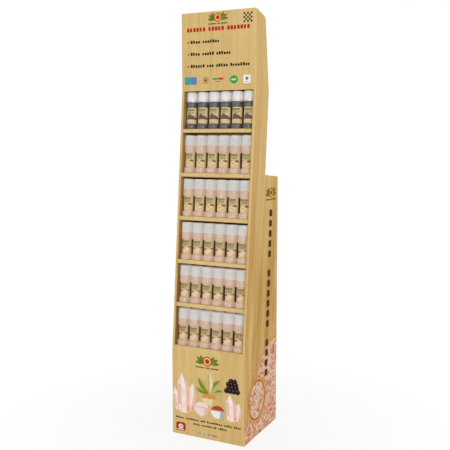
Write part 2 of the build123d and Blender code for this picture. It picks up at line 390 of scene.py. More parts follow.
class SharedEffects:
    """Shader node groups that more than one finish uses. Each is built once, by the method of its name."""

    FLOAT = "NodeSocketFloat"
    VECTOR = "NodeSocketVector"
    COLOUR = "NodeSocketColor"
    MARK = {
        "Across": 0.0, "Up": 0.0,
        "Centre Across": 0.0, "Centre Up": 0.0,
        "Half Width": 0.01, "Half Height": 0.01,
    }
    # Inputs of each group: the type of a vector or a colour, or the default of a number
    INPUTS: dict[str, dict[str, str | float]] = {
        "wood_print": {"Vector": VECTOR, "Pale": COLOUR, "Deep": COLOUR, "Contrast": 1.0},
        "washboard": {"Across": 0.0, "Pitch": FLUTE_PITCH},
        "flute_edge": {
            "Depth": 0.0, "Along": 0.0, "Thickness": BOARD, "Pitch": FLUTE_PITCH,
            "Kraft": COLOUR, "Hollow": COLOUR,
        },
        "fold_wear_and_highlight": {"Vector": VECTOR, "Distance": 0.0, "Width": 0.003},
        "paper_fibre": {"Vector": VECTOR, "Color": COLOUR, "Amount": 0.5},
        "oval_mask": MARK,
        "bar_mask": MARK,
        "grain_fill": {
            "Vector": VECTOR, "Grain Size": 0.002, "Light": COLOUR, "Middle": COLOUR, "Dark": COLOUR,
            "Dark Share": 0.2,
        },
    }

    @classmethod
    def get(cls, name: str) -> bpy.types.NodeTree:
        """Give a shared group, built at its first use.

        Args:
            name: Name of the group, one of INPUTS.

        Returns:
            The node group.
        """
        tree = bpy.data.node_groups.get(name)
        if tree:
            return tree
        tree = bpy.data.node_groups.new(name, "ShaderNodeTree")
        for label, default in cls.INPUTS[name].items():
            kind = default if isinstance(default, str) else cls.FLOAT
            socket = tree.interface.new_socket(label, in_out="INPUT", socket_type=kind)
            if kind == cls.FLOAT:
                socket.default_value = default
        given = tree.nodes.new("NodeGroupInput").outputs
        graph = Graph(tree)
        made = getattr(cls, name)(graph, {label: given[label] for label in cls.INPUTS[name]})
        for label in made:
            kind = cls.COLOUR if label == "Color" else cls.FLOAT
            tree.interface.new_socket(label, in_out="OUTPUT", socket_type=kind)
        sink = tree.nodes.new("NodeGroupOutput")
        for label, socket in made.items():
            graph.feed(sink.inputs[label], socket)
        return tree

    @staticmethod
    def wood_print(graph: Graph, given: Sockets) -> Sockets:
        """Print pale wood grain: broad soft streaks, fine lines and a few darker pores.

        Args:
            graph: Graph of the group.
            given: Its inputs by name.

        Returns:
            Its outputs by name.
        """
        x, y, z = graph.split(given["Vector"])
        bend = graph.times(graph.minus(graph.noise(given["Vector"], 3.0, 2.0), 0.5), 0.035)
        across = graph.join(graph.plus(x, bend), graph.plus(y, bend), graph.times(z, 0.05))
        broad = graph.ramp(graph.noise(across, 13.0, 2.0), 0.36, 0.66)
        middle = graph.ramp(graph.noise(across, 52.0, 3.0), 0.36, 0.66)
        line = graph.ramp(graph.noise(graph.join(x, y, graph.times(z, 0.02)), 260.0, 4.0, 0.7), 0.38, 0.66)
        pore = graph.ramp(graph.noise(graph.join(x, y, graph.times(z, 0.04)), 620.0, 2.0), 0.66, 0.76)
        tone = graph.times(broad, 0.48)
        for part, weight in ((middle, 0.27), (line, 0.2), (pore, 0.2)):
            tone = graph.plus(tone, graph.times(part, weight))
        share = graph.math("MULTIPLY", tone, given["Contrast"], clamp=True)
        return {"Color": graph.blend(share, given["Pale"], given["Deep"]), "Height": graph.minus(1.0, line)}

    @staticmethod
    def washboard(graph: Graph, given: Sockets) -> Sockets:
        """Raise the faint ridges of the flutes under the liner, which run up the board."""
        wave = graph.math("COSINE", graph.times(graph.over(given["Across"], given["Pitch"]), math.tau))
        return {"Height": graph.math("MULTIPLY_ADD", wave, 0.5, 0.5)}

    @staticmethod
    def flute_edge(graph: Graph, given: Sockets) -> Sockets:
        """Show the board's cut edge: two liners with the wavy medium, and painted shade in the hollows
        between them.

        Args:
            graph: Graph of the group.
            given: Its inputs by name.

        Returns:
            Its outputs by name.
        """
        turns = graph.over(given["Along"], given["Pitch"])
        wave = graph.times(graph.math("SINE", graph.times(turns, math.tau)), 0.32)
        off_middle = graph.minus(graph.over(given["Depth"], given["Thickness"]), 0.5)
        medium = graph.ramp(graph.size(graph.minus(off_middle, wave)), 0.07, 0.15, 1.0, 0.0)
        liner = graph.ramp(graph.size(off_middle), 0.36, 0.42)
        solid = graph.math("MAXIMUM", medium, liner)
        return {"Color": graph.blend(solid, given["Hollow"], given["Kraft"])}

    @staticmethod
    def fold_wear_and_highlight(graph: Graph, given: Sockets) -> Sockets:
        """Mark wear of the ink along a fold, and a painted highlight there, from the distance to it.

        Args:
            graph: Graph of the group.
            given: Its inputs by name.

        Returns:
            Its outputs by name.
        """
        patchy = graph.ramp(graph.noise(given["Vector"], 90.0, 4.0), 0.25, 0.75, 0.6, 1.3)
        away = graph.over(given["Distance"], graph.times(given["Width"], patchy))
        return {"Mask": graph.math("POWER", graph.math("SUBTRACT", 1.0, away, clamp=True), 1.4)}

    @staticmethod
    def paper_fibre(graph: Graph, given: Sockets) -> Sockets:
        """Cloud a paper surface softly, with fine specks.

        Args:
            graph: Graph of the group.
            given: Its inputs by name.

        Returns:
            Its outputs by name.
        """
        cloud = graph.noise(given["Vector"], 45.0, 3.0)
        speck = graph.noise(given["Vector"], 1400.0, 2.0)
        shade = graph.ramp(graph.plus(graph.times(cloud, 0.5), graph.times(speck, 0.5)), 0.3, 0.7, 0.86, 1.08)
        return {"Color": graph.shaded(given["Amount"], given["Color"], shade), "Height": speck}

    @staticmethod
    def oval_mask(graph: Graph, given: Sockets) -> Sockets:
        """Mark a printed oval by its place and its two half sizes.

        Args:
            graph: Graph of the group.
            given: Its inputs by name.

        Returns:
            Its outputs by name.
        """
        across = graph.over(graph.minus(given["Across"], given["Centre Across"]), given["Half Width"])
        up = graph.over(graph.minus(given["Up"], given["Centre Up"]), given["Half Height"])
        return {"Mask": graph.ramp(graph.length(graph.join(across, up, 0.0)), 0.96, 1.02, 1.0, 0.0)}

    @staticmethod
    def bar_mask(graph: Graph, given: Sockets) -> Sockets:
        """Mark a printed rectangle by its place and its two half sizes.

        Args:
            graph: Graph of the group.
            given: Its inputs by name.

        Returns:
            Its outputs by name.
        """
        across = graph.size(graph.minus(given["Across"], given["Centre Across"]))
        up = graph.size(graph.minus(given["Up"], given["Centre Up"]))
        inside = graph.math("LESS_THAN", across, given["Half Width"])
        return {"Mask": graph.times(inside, graph.math("LESS_THAN", up, given["Half Height"]))}

    @staticmethod
    def grain_fill(graph: Graph, given: Sockets) -> Sockets:
        """Heap coarse grains close together, each with its own tone between three colours and painted shade
        towards its edge.

        Args:
            graph: Graph of the group.
            given: Its inputs by name.

        Returns:
            Its outputs by name.
        """
        scale = graph.over(1.0, given["Grain Size"])
        cells = graph.add("TexVoronoi", {"Vector": given["Vector"], "Scale": scale}, feature="F1").outputs
        pick = graph.add("SeparateColor", {0: cells["Color"]}).outputs
        body = graph.blend(graph.ramp(pick[0], 0.15, 0.85), given["Middle"], given["Light"])
        tinted = graph.blend(graph.math("LESS_THAN", pick[1], given["Dark Share"]), body, given["Dark"])
        # Each grain darkens towards its edge: painted shade between the grains in the jars, and part of the
        # printed picture on the board
        edge = graph.ramp(cells["Distance"], 0.25, 0.75, 1.0, 0.72)
        return {"Color": graph.shaded(1.0, tinted, edge), "Height": graph.minus(1.0, cells["Distance"])}


class Finish:
    """A finish that makes its material once, and may have a faint painted glow that lightens the shade
    between neighbours.
    """

    name: str
    glow: float = 0.0

    @property
    def lit(self) -> float:
        """Share of its own colour that the finish keeps beside its painted glow."""
        return 1.0 - GLOW_GAIN * self.glow

    def material(self) -> bpy.types.Material:
        """Give the finish's material, built at its first use.

        Returns:
            The material.
        """
        made = bpy.data.materials.get(self.name)
        if made is None:
            made = bpy.data.materials.new(self.name)
            graph = Graph.emptied(made)
            shader = graph.add("BsdfPrincipled", self.dress(graph))
            graph.add("OutputMaterial", {"Surface": shader.outputs["BSDF"]})
        return made

    def painted_glow_and_scatter(self, colour: Colour, depth: float = 0.0, tint: Colour = (1.0, 1.0, 1.0)) -> Inputs:
        """Give the inputs of a painted glow, and of light scattered under the surface where a depth is given.

        Args:
            colour: Colour of its painted glow.
            depth: How deep light goes into it.
            tint: How far each colour goes, as a share of the depth.

        Returns:
            The shader's inputs for it.
        """
        # Painted glow: emission that lightens the shade between neighbouring pieces
        glow = {"Emission Color": colour, "Emission Strength": self.glow}
        weight = 0.85 if depth else 0.0
        return {**glow, "Subsurface Weight": weight, "Subsurface Radius": tint, "Subsurface Scale": depth}

    def dress(self, graph: Graph) -> Inputs:
        """Build the finish's nodes.

        Args:
            graph: Graph of the material.

        Returns:
            Values and sockets for the inputs of its Principled BSDF.
        """
        raise NotImplementedError


@dataclass(frozen=True)
class PrintedBoard(Finish):
    """Corrugated board printed with pale wood grain, with wear and a painted highlight along its folds,
    flutes on its cut edges and painted shade in their hollows and on inner walls.
    """

    name: str
    lean: Lean
    pale: Colour = linear(218, 189, 129)
    deep: Colour = linear(184, 141, 72)
    # Painted light: the sides are a little lighter and warmer than the front, to make up for the cooler light
    # they get
    side_pale_painted_light: Colour = linear(226, 192, 130)
    side_deep_painted_light: Colour = linear(190, 143, 72)
    kraft: Colour = linear(176, 138, 92)
    # Painted shade of the open flutes on cut edges, also laid on the inner walls
    hollow: Colour = linear(92, 66, 42)
    # Painted shade: the dark default colour of a bare side, laid where the column's inside is in shade
    liner: Colour = linear(58, 43, 28)
    rubbed_highlight: Colour = linear(232, 210, 168)
    rubbed_highlight_width: float = 4.2 * MM
    # Share of painted shade laid on the inner walls, in the colour of the hollows
    inner_shade: float = 0.45
    fold_side: float = 0.0
    streaks: float = 0.55
    grain_shift: float = 0.16
    bare: BareSide = BareSide.NONE

    def dress(self, graph: Graph) -> Inputs:
        """Lay the grain along the board and down its lean, then the folds' wear and painted highlight, the
        cut edges, the inner walls' painted shade and the liner colour, whose dark default is painted shade.

        Args:
            graph: Graph of the material.

        Returns:
            Values and sockets for the inputs of its Principled BSDF.
        """
        place = graph.place()
        x, y, z = graph.split(place)
        column_height = SHELF_COUNT * self.lean.pitch * math.cos(self.lean.angle)
        risen = graph.math("MAXIMUM", graph.minus(z, self.lean.fold_height), 0.0)
        leaned = graph.math("MINIMUM", risen, column_height)
        depth = graph.minus(y, graph.times(leaned, math.tan(self.lean.angle)))
        facing = graph.split(graph.add("NewGeometry").outputs["True Normal"])
        sideways = graph.size(facing[0])
        # The sides get more of the deep tone below, so are streakier and darker there, and are plainer and
        # paler towards the header
        side_streaks = graph.ramp(z, 0.2, 1.7, 0.75, -0.3)
        grain = graph.group(
            "wood_print",
            vector=graph.join(x, graph.plus(depth, self.grain_shift), z),
            pale=graph.blend(sideways, self.pale, self.side_pale_painted_light),
            deep=graph.blend(sideways, self.deep, self.side_deep_painted_light),
            contrast=graph.math("MULTIPLY_ADD", sideways, side_streaks, self.streaks),
        )
        fibre = graph.group("paper_fibre", vector=place, color=grain["Color"], amount=0.35)
        ridges = graph.group("washboard", across=graph.plus(x, depth))
        colour = fibre["Color"]
        if self.fold_side:
            colour = self.worked(graph, colour, place, depth, facing)
        if self.bare is not BareSide.NONE:
            # A bare side shows the liner colour, which by default is painted shade
            away = facing[1] if self.bare is BareSide.FRONT else facing[2]
            paper = graph.group("paper_fibre", vector=place, color=self.liner, amount=0.8)
            colour = graph.blend(graph.math("LESS_THAN", away, -0.5), colour, paper["Color"])
        height = graph.plus(graph.times(ridges["Height"], 0.6), graph.times(fibre["Height"], 0.25))
        return {
            "Base Color": colour,
            "Roughness": 0.8,
            "Specular IOR Level": 0.01,
            "Normal": graph.bump(height, 0.06 * MM),
        }

    def worked(
        self, graph: Graph, colour: Socket, place: Socket, depth: Socket, facing: tuple[Socket, ...]
    ) -> Socket:
        """Lighten the front folds of the wrap as wear and painted highlight, show flutes with shaded hollows
        on its cut edges and paint shade on its inner walls.

        Args:
            graph: Graph of the material.
            colour: Colour of the print.
            place: Place on the board.
            depth: Distance into the display, with the lean taken out.
            facing: Three parts of the surface's direction.

        Returns:
            The colour's socket.
        """
        x = graph.split(place)[0]
        from_side = graph.size(x)
        inward = graph.minus(self.fold_side, from_side)
        reach = graph.length(graph.join(inward, graph.minus(depth, self.lean.front), 0.0))
        worn_and_highlit = graph.group("fold_wear_and_highlight", vector=place, distance=reach, width=self.rubbed_highlight_width)
        # Wear and painted highlight: the folds turn lighter towards their crease
        colour = graph.blend(graph.times(worn_and_highlit["Mask"], 0.55), colour, self.rubbed_highlight)
        upright = graph.math("MAXIMUM", facing[1], graph.size(facing[2]))
        in_panel = graph.math("GREATER_THAN", from_side, self.fold_side - BOARD * 1.02)
        cut = graph.times(graph.math("GREATER_THAN", upright, 0.6), in_panel)
        along = graph.times(depth, graph.math("GREATER_THAN", facing[2], 0.6))
        edge = graph.group("flute_edge", depth=inward, along=along, kraft=self.kraft, hollow=self.hollow)
        colour = graph.blend(cut, colour, edge["Color"])
        # Painted shade on the inner walls, which face in towards the jars
        inner_wall = graph.math("LESS_THAN", graph.times(facing[0], x), -0.5 * self.fold_side)
        return graph.blend(graph.times(inner_wall, self.inner_shade), colour, self.hollow)


@dataclass(frozen=True)
class PlainBoard(Finish):
    """Unprinted corrugated board."""

    name: str = "kraft_liner"
    kraft: Colour = linear(184, 148, 104)

    def dress(self, graph: Graph) -> Inputs:
        """Lay fibres and faint flutes over the bare liner.

        Args:
            graph: Graph of the material.

        Returns:
            Values and sockets for the inputs of its Principled BSDF.
        """
        place = graph.place()
        x, y, _ = graph.split(place)
        fibre = graph.group("paper_fibre", vector=place, color=self.kraft, amount=0.8)
        ridges = graph.group("washboard", across=graph.plus(x, y))
        normal = graph.bump(graph.plus(ridges["Height"], fibre["Height"]), 0.05 * MM)
        return {"Base Color": fibre["Color"], "Roughness": 0.8, "Normal": normal}


# Surface of printing ink on board
INK_SURFACE = {"Roughness": 0.75, "Specular IOR Level": 0.06}


@dataclass(frozen=True)
class PrintInk(Finish):
    """Flat shapes of printing ink, whose colours are stored with the faces."""

    name: str = "print_ink"

    def dress(self, graph: Graph) -> Inputs:
        """Take the ink from the mesh and let the paper's fibres show through.

        Args:
            graph: Graph of the material.

        Returns:
            Values and sockets for the inputs of its Principled BSDF.
        """
        ink = graph.add("Attribute", attribute_name="ink").outputs["Color"]
        fibre = graph.group("paper_fibre", vector=graph.place(), color=ink, amount=0.5)
        return {"Base Color": fibre["Color"], **INK_SURFACE, "Normal": graph.bump(fibre["Height"], 0.02 * MM)}


@dataclass(frozen=True)
class Grains:
    """Coarse grains of three colours."""

    light: Colour
    middle: Colour
    dark: Colour
    size: float
    dark_share: float

    def fill(self, graph: Graph, vector: Socket, lit: float = 1.0, fineness: float = 1.0) -> Sockets:
        """Heap the grains.

        Args:
            graph: Graph of the material.
            vector: Place on the surface.
            lit: Share of their colours.
            fineness: Share of their size and of the number of dark ones.

        Returns:
            Outputs of their group.
        """
        colours = {"light": self.light, "middle": self.middle, "dark": self.dark}
        tones = {key: faded(colour, lit) for key, colour in colours.items()}
        size, dark_share = self.size * fineness, self.dark_share
        return graph.group("grain_fill", vector=vector, grain_size=size, dark_share=dark_share, **tones)


SALT = Grains(linear(240, 216, 197), linear(224, 188, 164), linear(200, 150, 121), 1.8 * MM, 0.12)
PEPPER = Grains(linear(115, 111, 109), linear(73, 69, 68), linear(38, 35, 34), 2.4 * MM, 0.36)
LARGE_SALT = Grains(linear(252, 228, 206), linear(234, 172, 130), linear(204, 100, 44), 10.5 * MM, 0.2)
SMALL_SALT = Grains(LARGE_SALT.light, LARGE_SALT.middle, LARGE_SALT.dark, LARGE_SALT.size * 0.45, 0.12)


@dataclass(frozen=True)
class SaltPrint(Finish):
    """Printed field of coarse pink grains."""

    name: str = "salt_print"

    def dress(self, graph: Graph) -> Inputs:
        """Print grains of two sizes over each other.

        Args:
            graph: Graph of the material.

        Returns:
            Values and sockets for the inputs of its Principled BSDF.
        """
        place = graph.place()
        _, y, z = graph.split(place)
        shift = graph.times(graph.noise(place, 60.0, 3.0), 0.012)
        flat = graph.join(0.0, graph.plus(y, shift), graph.minus(z, shift))
        large, small = (grains.fill(graph, flat)["Color"] for grains in (LARGE_SALT, SMALL_SALT))
        return {"Base Color": graph.blend(0.3, large, small), **INK_SURFACE}


@dataclass(frozen=True)
class JarFill(Finish):
    """Clear plastic jar wall tight against the grains inside it."""

    name: str
    grains: Grains
    # Painted glow that lightens the shade between the jars
    glow: float = 0.24
    glow_depth: float = 0.0

    def dress(self, graph: Graph) -> Inputs:
        """Show the grains under a clear glossy wall, with a faint painted glow.

        Args:
            graph: Graph of the material.

        Returns:
            Values and sockets for the inputs of its Principled BSDF.
        """
        fill = self.grains.fill(graph, graph.place(), self.lit)
        return {
            "Base Color": fill["Color"],
            "Roughness": 0.45,
            "Coat Weight": 0.4,
            "Coat Roughness": 0.12,
            "Normal": graph.bump(fill["Height"], 0.2 * MM, 0.6),
            **self.painted_glow_and_scatter(self.grains.middle, self.glow_depth, (1.0, 0.8, 0.7)),
        }


@dataclass(frozen=True)
class LabelPaper(Finish):
    """Printed label, whose design is placed by the jar's own coordinates."""

    name: str
    motif: LabelMotif
    radius: float
    base: float
    height: float
    drawn_height: float = 61.0 * MM
    # Painted glow that lightens the shade at the label's edges
    glow: float = 0.1

    def bars(self) -> list[Mark]:
        """List the label's bars: those of its motif, its rows of plain marks and the dark panels round its
        back, painted shade between the jars.

        Returns:
            The bars in the order of printing.
        """
        if self.motif is LabelMotif.PEPPER:
            bars = [
                (Ink.PAPER, 6.0, 9.0, 30.0, 8.0),
                (Ink.SAGE, 0.0, 11.0, 8.0, 1.2),
                (Ink.CLAY, 13.0, 11.0, 4.4, 0.8),
            ]
        else:
            bars = [(Ink.RUST, across, 34.8, 2.6, 0.8) for across in (-2.5, 4.0, 10.5)]
        bars += [(Ink.UMBER, across, 43.6, 2.5, 1.5) for across in (-9.5, -3.7, 2.1, 7.9, 13.7)]
        bars += [(Ink.CHARCOAL, across, 38.6, 3.4, 1.4) for across in (-6.5, 1.5, 9.5)]
        bars += [(Ink.CLAY, across, up, 5.0, 0.7) for across in (-7.0, 4.5) for up in (6.4, 3.6)]
        # Painted shade: dark panels round the label's back, where the jars shade each other
        return bars + [(Ink.CHARCOAL, side * 46.8, 30.5, 18.3, 31.0) for side in (-1, 1)]

    def dress(self, graph: Graph) -> Inputs:
        """Print each mark over the label's ground.

        Args:
            graph: Graph of the material.

        Returns:
            Values and sockets for the inputs of its Principled BSDF.
        """
        place = graph.add("Attribute", attribute_name="jar_place").outputs["Vector"]
        x, y, z = graph.split(place)
        across = graph.times(graph.math("ARCTAN2", x, graph.times(y, -1.0)), self.radius)
        up = graph.minus(z, self.base)
        ground = LABEL_GROUNDS[self.motif]
        colour = graph.group("paper_fibre", vector=place, color=faded(ground, self.lit), amount=0.4)["Color"]
        stretch = self.height / self.drawn_height
        marks = [("oval_mask", mark) for mark in LABEL_OVALS[self.motif] + LABEL_CROWN]
        marks += [("bar_mask", mark) for mark in self.bars()]
        for group, (ink, centre_across, centre_up, half_width, half_height) in marks:
            mask = graph.group(
                group,
                across=across,
                up=up,
                centre_across=centre_across * MM,
                centre_up=centre_up * MM * stretch,
                half_width=half_width * MM,
                half_height=half_height * MM,
            )
            colour = graph.blend(mask["Mask"], colour, faded(ink.colour, self.lit))
        surface = {"Roughness": 0.55, "Specular IOR Level": 0.2, "Coat Weight": 0.12, "Coat Roughness": 0.3}
        return {"Base Color": colour, **surface, **self.painted_glow_and_scatter(ground)}


@dataclass(frozen=True)
class Plastic(Finish):
    """Moulded plastic or a plated ring, in one colour with the slight unevenness of a moulding."""

    name: str
    colour: Colour
    roughness: float = 0.3
    metallic: float = 0.0
    opacity: float = 1.0
    # Painted glow: emission that lightens the shade between close caps and heads
    glow: float = 0.0
    glow_depth: float = 0.0

    def dress(self, graph: Graph) -> Inputs:
        """Vary the colour and the gloss a little over the surface.

        Args:
            graph: Graph of the material.

        Returns:
            Values and sockets for the inputs of its Principled BSDF.
        """
        cloud = graph.noise(graph.place(), 120.0, 2.0)
        shade = graph.ramp(cloud, 0.2, 0.8, 0.985, 1.0)
        return {
            "Base Color": graph.shaded(1.0, faded(self.colour, self.lit), shade),
            "Roughness": graph.ramp(cloud, 0.25, 0.75, self.roughness * 0.85, self.roughness * 1.15),
            "Metallic": self.metallic,
            "Alpha": self.opacity,
            **self.painted_glow_and_scatter(self.colour, self.glow_depth, (1.0, 0.95, 0.92)),
        }


class MeshBuilder:
    """Collects points and faces of one piece, with layers of values for the finish."""

    def __init__(self) -> None:
        """Start empty."""
        self.points: list[Vector] = []
        self.places: list[Vector] = []
        self.faces: list[tuple[int, ...]] = []
        self.face_inks: list[Colour] = []

    def point(self, local: Vector, place: Matrix) -> int:
        """Add a point.

        Args:
            local: Its place in the frame of its own form.
            place: Where that form stands.

        Returns:
            The point's number.
        """
        self.points.append(place @ local)
        self.places.append(local)
        return len(self.points) - 1

    def turned(
        self, profile: list[Point], segments: int, place: Matrix, ribs: int = 0, ribbed: Point = (0.0, 0.0)
    ) -> None:
        """Add a turned form, closed where its profile meets the axis.

        Args:
            profile: Radius and height of each ring, from the bottom to the top.
            segments: Number of points round each ring.
            place: Where the turned form stands.
            ribs: Number of upright grip ribs.
            ribbed: Lowest and highest ring that has ribs.
        """
        rings: list[list[int]] = []
        for outer, height in profile:
            depth = RIB_DEPTH if ribs and ribbed[0] <= height <= ribbed[1] else 0.0
            ring = []
            for step in range(segments if outer else 1):
                turn = math.tau * step / segments
                radius = outer - depth * (0.5 + 0.5 * math.cos(turn * ribs))
                local = Vector((radius * math.sin(turn), -radius * math.cos(turn), height))
                ring.append(self.point(local, place))
            rings.append(ring)
        for lower, upper in zip(rings, rings[1:]):
            for step in range(segments):
                following = (step + 1) % segments
                corners = [lower[step % len(lower)], lower[following % len(lower)]]
                corners += [upper[following % len(upper)], upper[step % len(upper)]]
                face = tuple(dict.fromkeys(corners))
                if len(face) > 2:
                    self.faces.append(face)

    def outline(self, corners: list[Point], level: float, plane: Matrix) -> int:
        """Add the corners of an outline at a level of a plane, and give the number of the first."""
        numbers = [self.point(Vector((*corner, level)), plane) for corner in corners]
        return numbers[0]

    @staticmethod
    def band(low: int, high: int, count: int) -> list[tuple[int, ...]]:
        """Give the faces between two outlines of as many corners, from the numbers of their first ones."""
        steps = [(step, (step + 1) % count) for step in range(count)]
        return [(low + here, low + following, high + following, high + here) for here, following in steps]

    def ink(self, faces: list[tuple[int, ...]], ink: Ink) -> None:
        """Add faces in one ink."""
        self.faces += faces
        self.face_inks += [ink.colour] * len(faces)

    def plate(self, outline: list[Point], plane: Matrix, ink: Ink, layer: int = 0) -> None:
        """Add a thin flat shape that lies on a plane.

        Args:
            outline: Corners of the shape in the plane, in order.
            plane: Matrix whose X and Y run along the plane and whose Z points out of it.
            ink: Ink of the shape.
            layer: How many inks lie under this one.
        """
        low, high = (self.outline(outline, level * INK_LAYER, plane) for level in (layer, layer + 1))
        count = len(outline)
        caps = [tuple(range(high, high + count)), tuple(reversed(range(low, low + count)))]
        self.ink(caps + self.band(low, high, count), ink)

    def hoop(self, outer: list[Point], inner: list[Point], plane: Matrix, ink: Ink, layer: int = 0) -> None:
        """Add a thin flat band between two outlines that have as many corners.

        Args:
            outer: Corners of the outer outline, in order.
            inner: Corners of the inner outline, in the same order.
            plane: Matrix whose X and Y run along the plane and whose Z points out of it.
            ink: Ink of the band.
            layer: How many inks lie under this one.
        """
        low, high = layer * INK_LAYER, (layer + 1) * INK_LAYER
        section = ((outer, low), (outer, high), (inner, high), (inner, low))
        starts = [self.outline(corners, level, plane) for corners, level in section]
        for here, there in zip(starts, starts[1:] + starts[:1]):
            self.ink(self.band(here, there, len(outer)), ink)

    def lay(
        self,
        name: str,
        finish: Finish,
        slot: str,
        replaced: tuple[str, ...] = (),
        smooth: float | None = None,
    ) -> None:
        """Make the piece and let it ride on the display.

        Args:
            name: Name of the piece.
            finish: Its finish.
            slot: Name of a material slot of the record; not used.
            replaced: CAD nodes that it stands for.
            smooth: Largest angle in degrees between two faces shaded as one, or None for flat faces.
        """
        mesh = bpy.data.meshes.new(name)
        mesh.from_pydata([tuple(point) for point in self.points], [], self.faces)
        mesh.update()
        if self.face_inks:
            inks = mesh.color_attributes.new("ink", "FLOAT_COLOR", "CORNER")
            corner_inks = [(*ink, 1.0) for face, ink in zip(self.faces, self.face_inks) for _ in face]
            inks.data.foreach_set("color", [part for ink in corner_inks for part in ink])
        places = mesh.attributes.new("jar_place", "FLOAT_VECTOR", "POINT")
        places.data.foreach_set("vector", [part for place in self.places for part in place])
        if smooth is not None:
            mesh.polygons.foreach_set("use_smooth", [True] * len(mesh.polygons))
            mesh.set_sharp_from_angle(angle=math.radians(smooth))
        mesh.materials.append(finish.material())
        piece = bpy.data.objects.new(name, mesh)
        bpy.context.scene.collection.objects.link(piece)
        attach(piece, BODY)
        if replaced:
            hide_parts(*replaced)
        LOG.info("piece %s: %d faces", name, len(self.faces))


def arc(centre: Point, radius: float, start: float, end: float, steps: int) -> list[Point]:
    """Give points along an arc.

    Args:
        centre: Centre of the arc.
        radius: Its radius.
        start: First angle in degrees.
        end: Last angle in degrees.
        steps: Number of stretches.

    Returns:
        The points, both ends with them.
    """
    turns = [math.radians(start + (end - start) * step / steps) for step in range(steps + 1)]
    return [(centre[0] + radius * math.cos(turn), centre[1] + radius * math.sin(turn)) for turn in turns]


def oval(centre: Point, half: Point, steps: int) -> list[Point]:
    """Give the corners of an oval with a half width and a half height."""
    turns = [math.tau * step / steps for step in range(steps)]
    return [(centre[0] + half[0] * math.cos(turn), centre[1] + half[1] * math.sin(turn)) for turn in turns]


def rounded(low: Point, high: Point, corner: float) -> list[Point]:
    """Give the corners of a rectangle with rounded corners.

    Args:
        low: Its lowest corner.
        high: Its highest corner.
        corner: Radius of its corners.

    Returns:
        The corners in order.
    """
    # Just under half the smaller side, so that no two corners fall together
    radius = min(corner, (high[0] - low[0]) / 2, (high[1] - low[1]) / 2) * 0.999
    left, right, bottom, top = low[0] + radius, high[0] - radius, low[1] + radius, high[1] - radius
    centres = ((right, top), (left, top), (left, bottom), (right, bottom))
    quarters = [arc(centre, radius, 90 * turn, 90 * turn + 90, 4) for turn, centre in enumerate(centres)]
    return [point for quarter in quarters for point in quarter]


def face_plane(origin: tuple[float, float, float], right: tuple[int, int, int]) -> Matrix:
    """Give the matrix of an upright face from its origin and the direction to its right, with Z out of it."""
    across, up = Vector(right), Vector((0, 0, 1))
    return Matrix.Translation(origin) @ Matrix((across, up, across.cross(up))).transposed().to_4x4()


@dataclass
class Boards:
    """The folded boards, which keep their solids and get their finishes here."""

    lean: Lean

    def dress(self) -> None:
        """Give every board its finish."""
        half_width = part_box("outer_wrap")[1].x
        shelves = tuple(f"shelf_{number}" for number in range(1, SHELF_COUNT))
        shelf = {"lean": self.lean, "streaks": 0.3, "bare": BareSide.UNDERSIDE}
        finishes = (
            (("outer_wrap",), PrintedBoard("wood_print_wrap", self.lean, fold_side=half_width)),
            (("top_lid", "rear_cover"), PrintedBoard("wood_print_cover", self.lean)),
            # The back panel's front is painted dark as shade behind the jars
            (("back_panel",), PrintedBoard("wood_print_back", self.lean, bare=BareSide.FRONT)),
            (shelves, PrintedBoard("wood_print_shelf", liner=PlainBoard.kraft, **shelf)),
            # The top shelf's underside keeps the dark liner, painted shade over the top jars; the lower
            # shelves show bare kraft
            ((f"shelf_{SHELF_COUNT}",), PrintedBoard("wood_print_top_shelf", **shelf)),
            (("base_tray", "base_riser"), PlainBoard()),
        )
        for nodes, finish in finishes:
            for node in nodes:
                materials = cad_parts[node].data.materials
                materials.clear()
                materials.append(finish.material())
                LOG.info("board %s: %s", node, finish.name)


def ring_heights(node: str, lean: Lean) -> list[float]:
    """Read how high the level faces of a node stand, measured along the lean from its lowest one.

    Args:
        node: Name of a node of turned pieces that stand on one shelf.
        lean: The column's lean.

    Returns:
        The heights from the lowest, which is 0, to the highest.
    """
    up = lean.axes() @ Vector((0.0, 0.0, 1.0))
    heights = sorted(up.dot(point.co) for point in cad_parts[node].data.vertices)
    levels = heights[:1]
    for height in heights:
        if height - levels[-1] > SAME_LEVEL:
            levels.append(height)
    return [level - levels[0] for level in levels]


